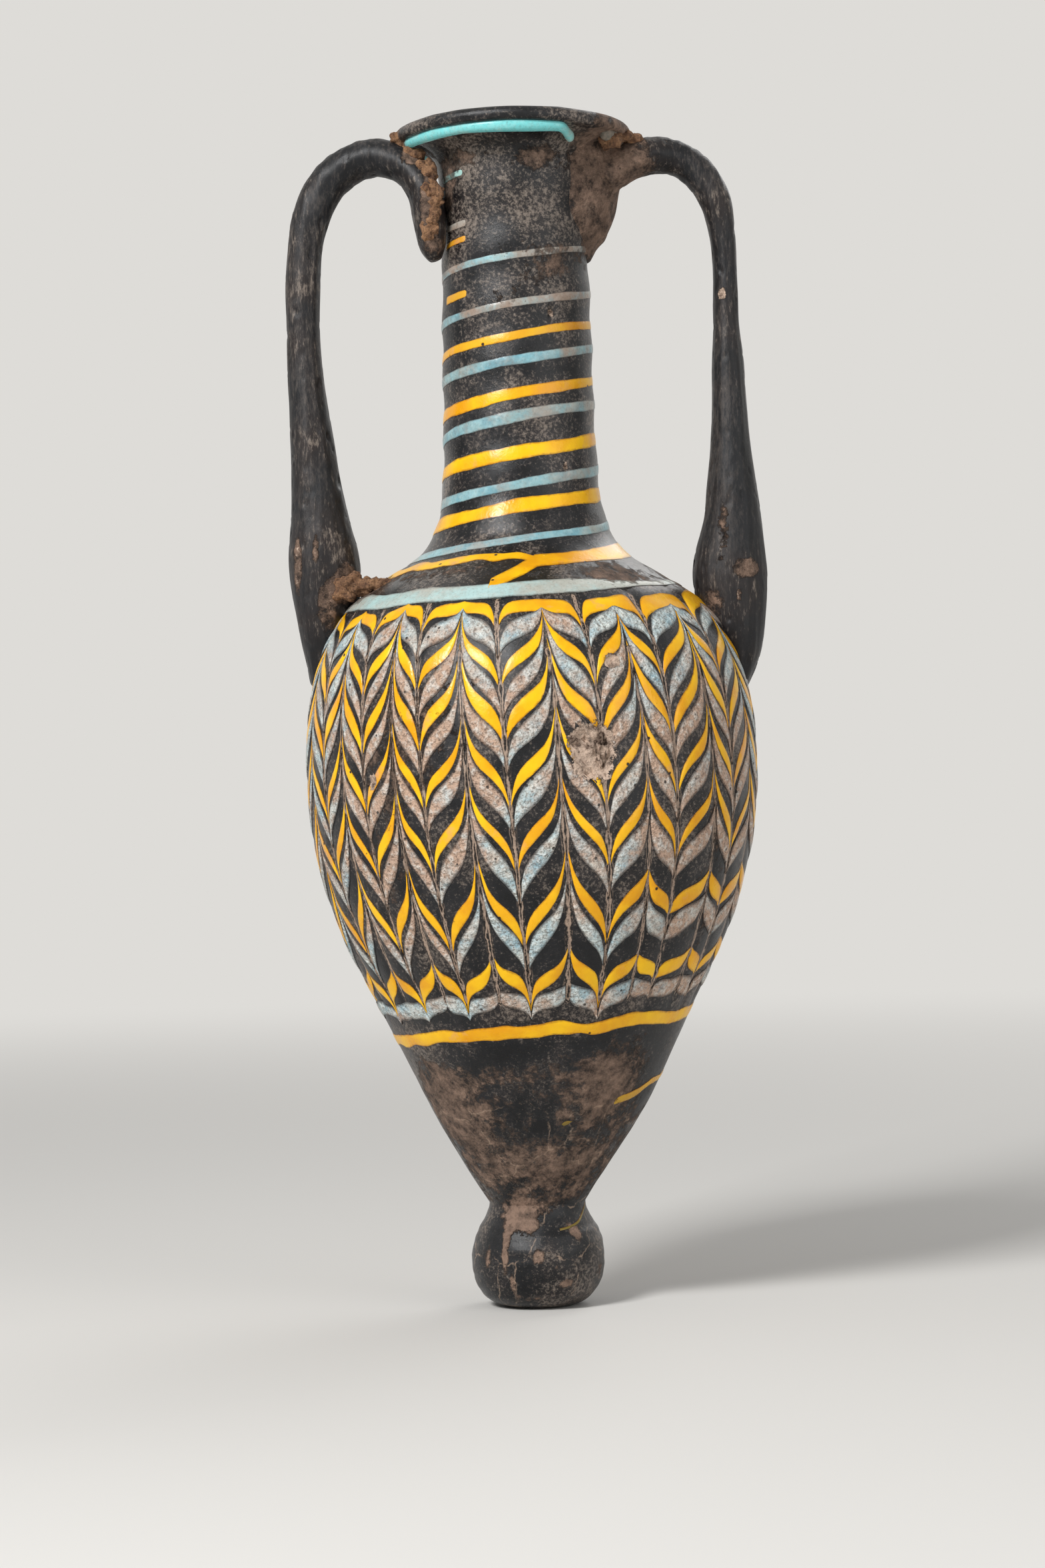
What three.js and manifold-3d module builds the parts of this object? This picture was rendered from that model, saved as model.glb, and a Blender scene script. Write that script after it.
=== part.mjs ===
// Core-formed glass amphoriskos: a small two-handled oil flask with a combed feather pattern.
// Millimetres, +Z up the vessel's axis, +X through the right handle, the decorated front towards -Y.
// The origin is the middle of the small flat under the base knob.

import * as THREE from 'three';
import { mergeVertices } from 'three/addons/utils/BufferGeometryUtils.js';
import Module from 'manifold-3d';

const wasm = await Module();
wasm.setup();

// Base knob: a ball of glass pressed on below the body, ground flat underneath.
const knobRestRadius = 3.4;
const knobRadius = 8.4;
const knobWidestHeight = 6.2;
const knobHeight = 13.2;
const waistRadius = 6.1;
const knobFullness = 0.85;
const knobShoulder = 0.55;
const waistTightness = 0.35;

// All heights below are measured from the body's seat on the knob.
// Body outline from the seat up to the neck's top: [radius, height].
const bodyStations = [
  [waistRadius, 0],
  [10.0, 6.1],
  [14.1, 13.0],
  [20.7, 26.5],
  [24.0, 33.2],
  [26.5, 40.0],
  [28.0, 46.9],
  [28.5, 54.6],
  [28.1, 62.4],
  [26.4, 69.6],
  [22.6, 75.6],
  [17.6, 79.2],
  [12.9, 82.3],
  [10.6, 86.6],
  [9.8, 93.0],
  [9.4, 112.0],
  [9.2, 131.6],
];
// The belly was worked a little off the axis, to the right of the knob and the neck.
const bellyShift = 0.65;
const bellyShiftRamp = 14.0;
const neckBaseHeight = 82.0;
const wallThickness = 2.8;
const floorThickness = 6.0;

// Mouth: a disc of glass tooled out from a coil laid on the neck, drooping towards both handles.
const mouthRadius = 14.9;
const mouthHeight = 5.3;
const lipThickness = 1.7;
const lipWidth = 3.2;
const lipRounding = 0.3;
const dishDepth = 0.6;
const throatWidth = 1.0;
const throatDepth = 1.6;
const mouthDroop = 0.7;

// Trails: threads of coloured glass wound round the hot vessel. Angles run from the front to the right.
const trailThickness = 0.3;
const trailClearance = 0.32;
const trailTaper = 0.7;
const mouthTrailWidth = 1.3;
const mouthTrailInset = 0.05;
const neckTrailTilt = 0.36;
const neckPitch = 7.12;
const neckYellowWidth = 1.15;
const neckYellowAboveBand = 3.5;
const neckYellowBelowTop = 6.1;
const neckTurquoiseWidth = 0.8;
const neckTurquoiseShare = 0.48;
const neckTurquoiseBelowTop = 4.4;
const forkAngle = -12;
const forkTurns = 0.05;
const forkDrop = 1.9;
const bandAboveCombing = 2.1;
const bandRise = 5.4;
const bandTurns = 0.64;
const bandWidth = 1.6;

// Feather pattern: both belly trails are dragged down and up in turn by one comb.
// Heights are those of the yellow trail where it passes the front: its free end on the shoulder,
// seven combed turns, a plain ring below them and the thin start of the thread lower down.
const combRepeats = 17;
const yellowHeights = [81.4, 74.6, 68.7, 62.6, 55.2, 47.4, 38.0, 29.3, 22.7, 9.1];
const yellowWidth = 1.5;
const yellowFreeEnd = 0.04;
const yellowStart = 9.0;
const turquoiseWidth = 1.9;
const turquoiseShare = 0.37;
const spineWidthShare = 0.32;
const turquoiseTop = 0.6;
const turquoiseFoot = 7.4;
const strokeSlope = 5.0;
const strokePeak = 4.2;
const strokePull = 2.6;
const strokeSharpness = 0.1;
const upStrokeTop = 74.8;
const upStrokeTopFade = 9.0;
const upStrokeFoot = 25.3;
const upStrokeFootFade = 8.5;
const downStrokeTop = 78.3;
const downStrokeTopFade = 3.0;
const downStrokeFoot = 23.3;
const downStrokeFootFade = 5.0;
const spineAngle = -8.6;
const spineLean = 5.9;

// Handles: rods drawn from the shoulder up to the mouth, [x, y, z, half thickness, half width].
const seatClearance = 0.3;
const handleLeftStations = [
  [-9.8, -4.2, 119.1, 0.9, 1.3],
  [-10.1, -4.3, 121.2, 1.75, 2.4],
  [-10.35, -4.2, 124.4, 2.15, 2.9],
  [-10.95, -3.9, 127.8, 2.15, 3.1],
  [-12.8, -2.9, 130.8, 2.2, 3],
  [-15.5, -1.8, 132.3, 2.35, 2.8],
  [-18.4, -0.9, 132.55, 2.45, 2.7],
  [-21.2, -0.3, 131.5, 2.5, 2.6],
  [-23.5, 0, 129.5, 2.6, 2.5],
  [-25.4, 0, 126, 2.5, 2.45],
  [-26.55, 0, 121.2, 2.35, 2.4],
  [-27, 0, 115.4, 2.25, 2.4],
  [-27.05, 0, 109.2, 2.25, 2.5],
  [-26.75, 0, 102.2, 2.5, 2.8],
  [-26.15, 0, 94.8, 3, 3.3],
  [-25.65, 0, 88.2, 3.6, 3.9],
  [-25.2, 0, 82.3, 4.6, 4.5],
  [-25, 0, 77, 4.3, 4.5],
  [-25.5, 0, 71.3, 2.8, 4.1],
  [-25.9, 0, 65.8, 1.3, 3],
];
const handleRightStations = [
  [11, -2.2, 129.4, 2.6, 3],
  [14.6, -1.5, 131.3, 2.5, 2.9],
  [18.2, -0.6, 132.1, 2.5, 2.6],
  [21.2, 0, 131.4, 2.3, 2.4],
  [23.9, 0, 129.3, 2.2, 2.2],
  [25.55, 0, 126.2, 2, 2.1],
  [26.35, 0, 122.4, 1.75, 2],
  [26.6, 0, 117.4, 1.6, 2],
  [26.65, 0, 112, 1.75, 2.15],
  [26.75, 0, 105.6, 2.1, 2.5],
  [26.8, 0, 98.8, 2.4, 2.9],
  [26.9, 0, 92, 3.05, 3.4],
  [26.9, 0, 85.8, 3.8, 4],
  [26.45, 0, 79.6, 4.85, 4.6],
  [26.75, 0, 74.4, 4.3, 4.7],
  [27.15, 0, 69.2, 3, 4.3],
  [27.25, 0, 63.8, 1.3, 3.1],
];
// The right handle's upper end is spread down the neck as a web: [x, y, z, half thickness, half width].
const webStations = [
  [10.9, -3.2, 132.4, 3, 4.6],
  [10.8, -3.3, 129, 2.7, 4.6],
  [10.6, -3.2, 125.2, 2.2, 3.8],
  [10.1, -2.9, 122.1, 1.6, 2.6],
  [9.4, -2.7, 119.2, 0.8, 1.3],
];

const darkGlass = { color: 0x2a2b2f, roughness: 0.42, metalness: 0.0 };
const yellowGlass = { color: 0xf0a51a, roughness: 0.25, metalness: 0.0 };
const turquoiseGlass = { color: 0x8fb7b8, roughness: 0.5, metalness: 0.0 };

const slopeStep = 0.3;
const bodySegments = 40;
const knobSegments = 36;
const mouthSegments = 36;
const curveSteps = 5;
const edgeSteps = 3;
const stepsPerStation = 2;
const rodSides = 10;
const rodSteps = 26;
const webSteps = 6;
const neckStepsPerTurn = 18;
const bandSteps = 32;
const plainPhases = [0, 0.5];
const bellyPhases = [0, 0.14, 0.5, 0.86];
const shoulderPhases = [0, 0.14, 0.38, 0.5, 0.62, 0.86];
const firstCombedTurn = 0.5;
const firstBellyTurn = 3.0;
const firstPlainTurn = 7.8;

const amphoriskos = new THREE.Group();
amphoriskos.name = 'amphoriskos';

function addPiece(name, geometry, look, base = knobHeight) {
  geometry.translate(0, 0, base);
  const mesh = new THREE.Mesh(geometry, new THREE.MeshStandardMaterial(look));
  mesh.name = name;
  amphoriskos.add(mesh);
  return mesh;
}

// The outer surface as a smooth curve, with its length from the seat so that trails can lie along it.
const bodyCurve = new THREE.SplineCurve(
  bodyStations.map(([radius, height]) => new THREE.Vector2(radius, height)),
);
const [neckTopRadius, neckTop] = bodyStations.at(-1);
const boreRadius = neckTopRadius - wallThickness;
const outline = bodyCurve.getPoints(stepsPerStation * (bodyStations.length - 1));
const outlineLengths = outline.map(() => 0);
for (let i = 1; i < outline.length; i += 1) {
  outlineLengths[i] = outlineLengths[i - 1] + outline[i].distanceTo(outline[i - 1]);
}

function interpolate(value, from, to) {
  let i = 1;
  while (i < from.length - 1 && from[i] < value) {
    i += 1;
  }
  const share = (value - from[i - 1]) / (from[i] - from[i - 1]);
  return to[i - 1] + share * (to[i] - to[i - 1]);
}

const outlineHeights = outline.map((point) => point.y);
const outlineRadii = outline.map((point) => point.x);
const lengthAt = (height) => interpolate(height, outlineHeights, outlineLengths);

// A point on the vessel at a length along the outline, lifted off the surface along its normal.
function liftedPoint(length, lift) {
  const radius = interpolate(length, outlineLengths, outlineRadii);
  const height = interpolate(length, outlineLengths, outlineHeights);
  const ahead = new THREE.Vector2(
    interpolate(length + slopeStep, outlineLengths, outlineRadii) - radius,
    interpolate(length + slopeStep, outlineLengths, outlineHeights) - height,
  ).normalize();
  return new THREE.Vector2(radius + ahead.y * lift, height - ahead.x * lift);
}

// Turns a profile about +Z. Lathe geometry turns about +Y, so the result is tipped upright.
function revolve(profile, segments = bodySegments) {
  const lathe = new THREE.LatheGeometry(profile, segments);
  lathe.rotateX(Math.PI / 2);
  return weld(lathe);
}

function weld(geometry) {
  geometry.deleteAttribute('normal');
  geometry.deleteAttribute('uv');
  return mergeVertices(geometry, 1e-4);
}

function toSolid(geometry) {
  return new wasm.Manifold(new wasm.Mesh({
    numProp: 3,
    vertProperties: new Float32Array(geometry.attributes.position.array),
    triVerts: new Uint32Array(geometry.index.array),
  }));
}

function fromSolid(solid) {
  const mesh = solid.getMesh();
  const geometry = new THREE.BufferGeometry();
  geometry.setAttribute('position', new THREE.BufferAttribute(mesh.vertProperties, 3));
  geometry.setIndex(new THREE.BufferAttribute(mesh.triVerts, 1));
  return geometry;
}

// Joins rings of points into one closed skin with flat ends.
function skin(rings) {
  const sides = rings[0].length;
  const positions = rings.flat().flatMap((point) => point.toArray());
  const faces = [];
  for (let ring = 0; ring < rings.length - 1; ring += 1) {
    for (let side = 0; side < sides; side += 1) {
      const next = (side + 1) % sides;
      const a = ring * sides + side;
      const b = ring * sides + next;
      faces.push(a, b, b + sides, a, b + sides, a + sides);
    }
  }
  const last = (rings.length - 1) * sides;
  for (let side = 1; side < sides - 1; side += 1) {
    faces.push(0, side + 1, side);
    faces.push(last, last + side, last + side + 1);
  }
  const geometry = new THREE.BufferGeometry();
  geometry.setAttribute('position', new THREE.Float32BufferAttribute(positions, 3));
  geometry.setIndex(faces);
  return geometry;
}

// Moves the belly off the axis, growing smoothly from the knob's seat and fading at the neck.
function settle(geometry) {
  const position = geometry.attributes.position;
  for (let i = 0; i < position.count; i += 1) {
    const height = position.getZ(i);
    const rise = THREE.MathUtils.smoothstep(height, 0, bellyShiftRamp);
    const fall = THREE.MathUtils.smoothstep(height, neckBaseHeight - bellyShiftRamp, neckBaseHeight);
    position.setX(i, position.getX(i) + bellyShift * rise * (1 - fall));
  }
  return geometry;
}

// The hollow follows the outer surface a wall's thickness in, from the neck's top to the floor.
function vesselBody() {
  const lowest = lengthAt(floorThickness + wallThickness);
  const inner = outlineLengths
    .filter((length, i) => i % stepsPerStation === 0 && length > lowest)
    .map((length) => liftedPoint(length, -wallThickness));
  return settle(revolve([
    new THREE.Vector2(0, 0),
    ...outline,
    new THREE.Vector2(boreRadius, neckTop),
    ...inner.slice(0, -1).reverse(),
    liftedPoint(lowest, -wallThickness),
    new THREE.Vector2(0, floorThickness),
  ]));
}

function baseKnob() {
  const profile = new THREE.Path();
  profile.moveTo(0, 0);
  profile.lineTo(knobRestRadius, 0);
  profile.bezierCurveTo(
    knobRadius * knobFullness, 0,
    knobRadius, knobWidestHeight / 2,
    knobRadius, knobWidestHeight,
  );
  const upperPart = knobHeight - knobWidestHeight;
  profile.bezierCurveTo(
    knobRadius, knobWidestHeight + upperPart * knobShoulder,
    waistRadius, knobHeight - upperPart * waistTightness,
    waistRadius, knobHeight,
  );
  profile.lineTo(0, knobHeight);
  return revolve(profile.getPoints(curveSteps), knobSegments);
}

// The mouth bends down towards both handles, more so at its edge than at the neck.
function droop(geometry) {
  const position = geometry.attributes.position;
  for (let i = 0; i < position.count; i += 1) {
    if (position.getZ(i) < neckTop - mouthHeight / 2) {
      continue;
    }
    const radius = Math.hypot(position.getX(i), position.getY(i));
    const reach = Math.max(0, radius - neckTopRadius) / (mouthRadius - neckTopRadius);
    const side = radius > 0 ? (position.getX(i) / radius) ** 2 : 0;
    position.setZ(i, position.getZ(i) - mouthDroop * reach * side);
  }
  return geometry;
}

// The disc's underside, from the neck out to the lip, raised by a clearance where it is needed.
function mouthUnderside(clearance = 0) {
  const foot = neckTop - clearance;
  return new THREE.CubicBezierCurve(
    new THREE.Vector2(neckTopRadius, foot),
    new THREE.Vector2(neckTopRadius + lipRounding, foot + (mouthHeight - lipThickness) / 2),
    new THREE.Vector2(mouthRadius - lipWidth, foot + mouthHeight - lipThickness - dishDepth),
    new THREE.Vector2(mouthRadius - lipRounding, foot + mouthHeight - lipThickness),
  );
}

function mouthDisc() {
  const top = neckTop + mouthHeight;
  const edge = new THREE.CubicBezierCurve(
    new THREE.Vector2(mouthRadius - lipRounding, top - lipThickness),
    new THREE.Vector2(mouthRadius + lipRounding, top - lipThickness + lipRounding),
    new THREE.Vector2(mouthRadius + lipRounding, top),
    new THREE.Vector2(mouthRadius - 3 * lipRounding, top),
  );
  const profile = [
    new THREE.Vector2(boreRadius, neckTop),
    ...mouthUnderside().getPoints(curveSteps),
    ...edge.getPoints(edgeSteps).slice(1),
    new THREE.Vector2(mouthRadius - lipWidth, top - dishDepth),
    new THREE.Vector2(boreRadius + throatWidth, top - 2 * dishDepth),
    new THREE.Vector2(boreRadius, top - dishDepth - throatDepth),
    new THREE.Vector2(boreRadius, neckTop),
  ];
  return droop(revolve(profile, mouthSegments));
}

function mouthTrail() {
  const curve = mouthUnderside();
  const outer = 1 - mouthTrailInset / curve.getLength();
  const inner = outer - mouthTrailWidth / curve.getLength();
  const lifted = (share, lift) => {
    const along = curve.getTangentAt(share);
    return curve.getPointAt(share).addScaledVector(new THREE.Vector2(along.y, -along.x), lift);
  };
  const loop = [
    lifted(inner, trailClearance + trailThickness),
    lifted(outer, trailClearance + trailThickness),
    lifted(outer, trailClearance),
    lifted(inner, trailClearance),
    lifted(inner, trailClearance + trailThickness),
  ];
  return droop(revolve(loop, mouthSegments));
}

// A strip of glass laid on the vessel through stations that give its angle, height and width.
// It is flat on top, or ridged where the comb has drawn it thin.
function trail(stations, ridged = false) {
  const top = trailClearance + trailThickness;
  const rings = stations.map(({ angle, height, width }) => {
    const middle = lengthAt(height);
    const crown = ridged
      ? [liftedPoint(middle, top)]
      : [
        liftedPoint(middle + (width / 2) * trailTaper, top),
        liftedPoint(middle - (width / 2) * trailTaper, top),
      ];
    const corners = [
      liftedPoint(middle + width / 2, trailClearance),
      ...crown,
      liftedPoint(middle - width / 2, trailClearance),
    ];
    return corners.map((corner) => new THREE.Vector3(
      corner.x * Math.sin(angle),
      -corner.x * Math.cos(angle),
      corner.y,
    ));
  });
  return settle(skin(rings));
}

// The neck trails climb as a helix, a little steeper across the front than round the back,
// and stop short of the neck's top.
function neckTrail(start, belowTop, width, tail = { angle: 0, turns: 1, drop: 0 }) {
  const turns = (neckTop - belowTop - start) / neckPitch;
  const steps = Math.round(turns * neckStepsPerTurn);
  const first = tail.angle / 360;
  const stations = [];
  for (let i = 0; i <= steps; i += 1) {
    const turn = first + (turns * i) / steps;
    const angle = turn * 2 * Math.PI;
    const dip = Math.max(0, 1 - (turn - first) / tail.turns);
    const height = start + turn * neckPitch + neckTrailTilt * Math.sin(angle) - dip * tail.drop;
    stations.push({ angle, height, width });
  }
  return trail(stations);
}

// A single wide turn above the combing that climbs from end to end, with both its ends round the back.
const bandHeight = yellowHeights[1] + bandAboveCombing;

function shoulderBand() {
  const stations = [];
  for (let i = 0; i <= bandSteps; i += 1) {
    const turn = (i / bandSteps - 0.5) * bandTurns;
    stations.push({ angle: turn * 2 * Math.PI, height: bandHeight + bandRise * turn, width: bandWidth });
  }
  return trail(stations);
}

// How far the comb has dragged the glass at a phase between one downward stroke and the next.
function drag(phase, height) {
  const clamp = (value) => THREE.MathUtils.clamp(value, 0, 1);
  const up = clamp((upStrokeTop - height) / upStrokeTopFade)
    * clamp((height - upStrokeFoot) / upStrokeFootFade);
  const down = clamp((downStrokeTop - height) / downStrokeTopFade)
    * clamp((height - downStrokeFoot) / downStrokeFootFade);
  const climb = 1 - Math.abs(2 * phase - 1);
  return up * (strokeSlope * (climb - 0.5) + strokePeak * Math.exp((climb - 1) / strokeSharpness))
    - down * strokePull * Math.exp(-climb / strokeSharpness);
}

// The belly trails wind down from the shoulder. Turns are counted from the yellow trail's free end,
// and a share of a turn's drop sets one trail below the other.
function bellyTrail(firstTurn, lastTurn, share, width) {
  const turnNumbers = yellowHeights.map((_, turn) => turn);
  const levelAt = (turn) => interpolate(turn + share, turnNumbers, yellowHeights);
  const stations = [];
  const lastRepeat = Math.round(lastTurn * combRepeats);
  for (let repeat = Math.round(firstTurn * combRepeats); repeat < lastRepeat; repeat += 1) {
    for (const phase of phasesAt(repeat / combRepeats)) {
      const turn = (repeat + phase) / combRepeats;
      const height = levelAt(turn) + drag(phase, levelAt(turn));
      const middle = Math.sin(Math.PI * (1 - Math.abs(2 * phase - 1)));
      const leaf = spineWidthShare + (1 - spineWidthShare) * middle;
      const lean = spineLean * (upStrokeTop - height) / (upStrokeTop - upStrokeFoot);
      const angle = THREE.MathUtils.degToRad(spineAngle + lean) - turn * 2 * Math.PI;
      stations.unshift({ angle, height, width: width * leaf });
    }
  }
  return trail(stations, true);
}

// The curved shoulder needs more stations along each stroke than the belly, a plain turn fewer.
function phasesAt(turn) {
  if (turn < firstCombedTurn || turn >= firstPlainTurn) {
    return plainPhases;
  }
  return turn < firstBellyTurn ? shoulderPhases : bellyPhases;
}

// A rod lofted through stations, each an ellipse square to the rod's course.
function rod(stations, steps) {
  const course = new THREE.CatmullRomCurve3(stations.map(([x, y, z]) => new THREE.Vector3(x, y, z)));
  const sections = new THREE.CatmullRomCurve3(
    stations.map(([, , , thickness, width]) => new THREE.Vector3(thickness, width, 0)),
  );
  const rings = [];
  for (let i = 0; i <= steps; i += 1) {
    const share = i / steps;
    const centre = course.getPoint(share);
    const along = course.getTangent(share);
    const size = sections.getPoint(share);
    const across = new THREE.Vector3(0, 1, 0).addScaledVector(along, -along.y).normalize();
    const outwards = new THREE.Vector3().crossVectors(across, along);
    const ring = [];
    for (let side = 0; side < rodSides; side += 1) {
      const angle = (side / rodSides) * 2 * Math.PI;
      ring.push(centre.clone()
        .addScaledVector(outwards, size.x * Math.cos(angle))
        .addScaledVector(across, size.y * Math.sin(angle)));
    }
    rings.push(ring);
  }
  return skin(rings);
}

// The space that the vessel, its trails and its mouth take up, with the handles' clearance round it.
function handleKeepOut() {
  const lift = trailClearance + trailThickness + seatClearance;
  const underside = mouthUnderside(lift)
    .getPoints(curveSteps)
    .filter((point) => point.x > neckTopRadius + lift)
    .map((point) => new THREE.Vector2(point.x + seatClearance, point.y));
  const above = neckTop + 2 * mouthHeight;
  return toSolid(settle(droop(revolve([
    new THREE.Vector2(0, 0),
    ...outlineLengths.map((length) => liftedPoint(length, lift)),
    ...underside,
    new THREE.Vector2(mouthRadius + seatClearance, above),
    new THREE.Vector2(0, above),
  ], 2 * bodySegments))));
}

function handle(stations, webs) {
  let solid = toSolid(rod(stations, rodSteps));
  if (webs) {
    solid = solid.add(toSolid(rod(webs, webSteps)));
  }
  return fromSolid(solid.subtract(handleKeepOut()));
}

addPiece('vessel_body', vesselBody(), darkGlass);
addPiece('base_knob', baseKnob(), darkGlass, 0);
addPiece('mouth_disc', mouthDisc(), darkGlass);
addPiece('mouth_trail_turquoise', mouthTrail(), turquoiseGlass);
addPiece('handle_left', handle(handleLeftStations), darkGlass);
addPiece('handle_right', handle(handleRightStations, webStations), darkGlass);

const neckYellowStart = bandHeight + neckYellowAboveBand;
const neckTurquoiseStart = neckYellowStart + neckTurquoiseShare * neckPitch;
const fork = { angle: forkAngle, turns: forkTurns, drop: forkDrop };
addPiece(
  'neck_trail_yellow',
  neckTrail(neckYellowStart, neckYellowBelowTop, neckYellowWidth, fork),
  yellowGlass,
);
addPiece(
  'neck_trail_turquoise',
  neckTrail(neckTurquoiseStart, neckTurquoiseBelowTop, neckTurquoiseWidth),
  turquoiseGlass,
);
addPiece('shoulder_band_turquoise', shoulderBand(), turquoiseGlass);
addPiece('belly_trail_yellow', bellyTrail(yellowFreeEnd, yellowStart, 0, yellowWidth), yellowGlass);
addPiece(
  'belly_trail_turquoise',
  bellyTrail(turquoiseTop, turquoiseFoot, turquoiseShare, turquoiseWidth),
  turquoiseGlass,
);

export default amphoriskos;
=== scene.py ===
# Core-formed glass oil flask with two handles, a disc mouth, a base knob and a combed feather pattern.
# Sizes are in millimetres and heights start at the knob's flat. Angles are degrees from the front (-Y)
# round to the right (+X). Each mesh is brought to metres when its piece is added.

import math
import random

import bmesh
import bpy
import numpy as np
from mathutils import Matrix, Vector, noise


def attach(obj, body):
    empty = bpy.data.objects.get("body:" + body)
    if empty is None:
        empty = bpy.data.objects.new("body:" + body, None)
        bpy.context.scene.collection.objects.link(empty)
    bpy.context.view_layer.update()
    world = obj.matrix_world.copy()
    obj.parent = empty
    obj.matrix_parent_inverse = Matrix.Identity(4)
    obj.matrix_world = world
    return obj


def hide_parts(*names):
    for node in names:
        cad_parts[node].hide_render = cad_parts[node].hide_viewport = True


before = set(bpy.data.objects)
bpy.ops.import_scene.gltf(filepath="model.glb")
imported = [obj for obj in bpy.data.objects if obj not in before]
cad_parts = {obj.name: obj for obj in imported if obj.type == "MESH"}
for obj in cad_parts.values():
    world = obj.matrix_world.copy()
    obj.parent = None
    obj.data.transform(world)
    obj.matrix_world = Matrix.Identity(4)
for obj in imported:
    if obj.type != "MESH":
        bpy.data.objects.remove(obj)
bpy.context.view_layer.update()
random.seed(17)

mm = 0.001

vessel = {
    "seat": 13.2,  # height of the body's foot on the knob
    "outline": [  # radius and height above the seat
        (6.1, 0.0), (10.0, 6.1), (14.1, 13.0), (20.7, 26.5), (24.0, 33.2), (26.5, 40.0),
        (28.0, 46.9), (28.5, 54.6), (28.1, 62.4), (26.4, 69.6), (22.6, 75.6), (17.6, 79.2),
        (12.9, 82.3), (10.6, 86.6), (9.8, 93.0), (9.4, 112.0), (9.2, 125.0), (9.7, 131.6),
    ],
    "axis": [  # the belly was worked slightly to the right of the axis: shift and height
        (0.05, 0.0), (0.1, 13.2), (0.4, 22.0), (0.64, 32.0), (0.62, 60.0), (0.5, 80.0), (0.15, 94.0),
        (0.05, 110.0), (0.0, 145.0),
    ],
    "wall": 2.8,
    "floor": 6.0,
    "rowStep": 0.7,
    "innerStep": 3.5,
    "columnsPerStroke": 8,
    "unevenness": 0.16,  # slow swells left by rolling the hot glass
    "unevenSize": 17.0,
    "grain": 0.035,
    "grainSize": 2.0,
    "fluteDepth": 0.22,  # the comb left a shallow furrow along each stroke
    "fluteWidth": 0.8,
    "neckRipple": 0.1,
    "neckPitch": 7.12,
}

comb = {
    # Angles of the strokes across the front at mid height, up and down in turn. The rest are even.
    "frontStrokes": [-74.4, -64.4, -54.7, -45.8, -35.2, -27.4, -15.2, -5.2, 7.8, 18.7, 30.3, 38.9,
                     53.1, 62.0, 74.8],
    "strokes": 34,
    "lean": 0.12,  # degrees to the right for each millimetre down
    "middle": 60.0,
    "slope": 5.0,  # height that the glass climbs between neighbouring strokes
    "upPull": 4.7,
    "downPull": 2.9,
    "sharpness": 0.095,
    "upRange": (88.0, 9.0, 38.5, 8.5),  # top, fade, foot, fade of the upward strokes
    "downRange": (91.5, 3.0, 36.5, 5.0),
    "wander": 0.8,  # how far a stroke strays sideways, in degrees
    "unequal": 0.16,  # how much the strokes differ in strength
    "tired": 0.6,  # low on the right the comb hardly caught the glass
    "unrest": 0.5,  # how far rows stray up and down
}

# Holes and bruises in the surface: angle, height, half width, half height, depth.
marks = [
    (15.3, 70.0, 2.9, 3.7, 1.0),
    (11.6, 71.6, 1.6, 1.2, 0.4),
    (22.0, 80.8, 1.1, 1.0, 0.45),
    (-43.0, 67.0, 0.7, 1.1, 0.4),
    (28.0, 125.0, 0.5, 0.5, 0.6),
    (35.0, 105.8, 0.5, 0.65, 0.45),
    (140.0, 62.0, 3.2, 2.6, 0.6),
    (-128.0, 47.0, 2.2, 3.0, 0.5),
    (178.0, 116.0, 0.7, 0.7, 0.5),
]

# Burial soil left on the surface: angle, height, half width in degrees, half height, strength.
soilPatches = [
    (88.0, 139.5, 31.0, 8.5, 1.0),
    (34.0, 131.0, 20.0, 2.4, 0.4),
    (-2.0, 127.0, 30.0, 3.2, 0.3),
    (45.0, 113.0, 10.0, 12.0, 0.25),
    (-62.0, 141.0, 16.0, 5.0, 0.6),
    (-80.0, 91.0, 13.0, 2.8, 1.0),
    (-38.0, 92.6, 40.0, 1.8, 0.55),
    (38.0, 92.0, 26.0, 2.0, 0.75),
    (22.0, 145.2, 24.0, 2.6, 0.7),
    (-40.0, 145.2, 24.0, 2.0, 0.5),
    (80.0, 91.0, 12.0, 3.0, 0.8),
    (-30.0, 74.0, 24.0, 10.0, 0.48),
    (-40.0, 58.0, 18.0, 13.0, 0.45),
    (15.0, 70.0, 12.0, 8.0, 0.35),
    (58.0, 55.0, 26.0, 20.0, 0.42),
    (33.0, 30.0, 19.0, 6.0, 0.72),
    (-8.0, 31.0, 26.0, 2.6, 0.42),
    (-52.0, 27.0, 22.0, 7.0, 0.72),
    (14.0, 18.0, 60.0, 3.4, 0.42),
    (-18.0, 11.4, 27.0, 2.0, 1.0),
    (-31.0, 7.8, 4.0, 3.2, 1.0),
    (-24.0, 3.4, 4.0, 1.8, 0.95),
    (-50.0, 6.5, 6.0, 2.6, 0.65),
    (0.0, 6.9, 6.0, 1.0, 0.95),
    (14.0, 5.6, 4.0, 0.7, 0.7),
    (37.0, 9.8, 9.0, 1.2, 0.85),
    (25.0, 3.4, 11.0, 0.9, 0.9),
    (-10.0, 1.6, 16.0, 0.8, 0.6),
    (70.0, 5.0, 12.0, 2.5, 0.5),
    (12.0, 132.5, 44.0, 3.0, 0.3),
    (150.0, 70.0, 34.0, 20.0, 0.4),
    (-150.0, 45.0, 40.0, 16.0, 0.5),
    (180.0, 24.0, 50.0, 9.0, 0.8),
    (180.0, 108.0, 60.0, 14.0, 0.4),
]


# Curves and the vessel's surface

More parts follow.
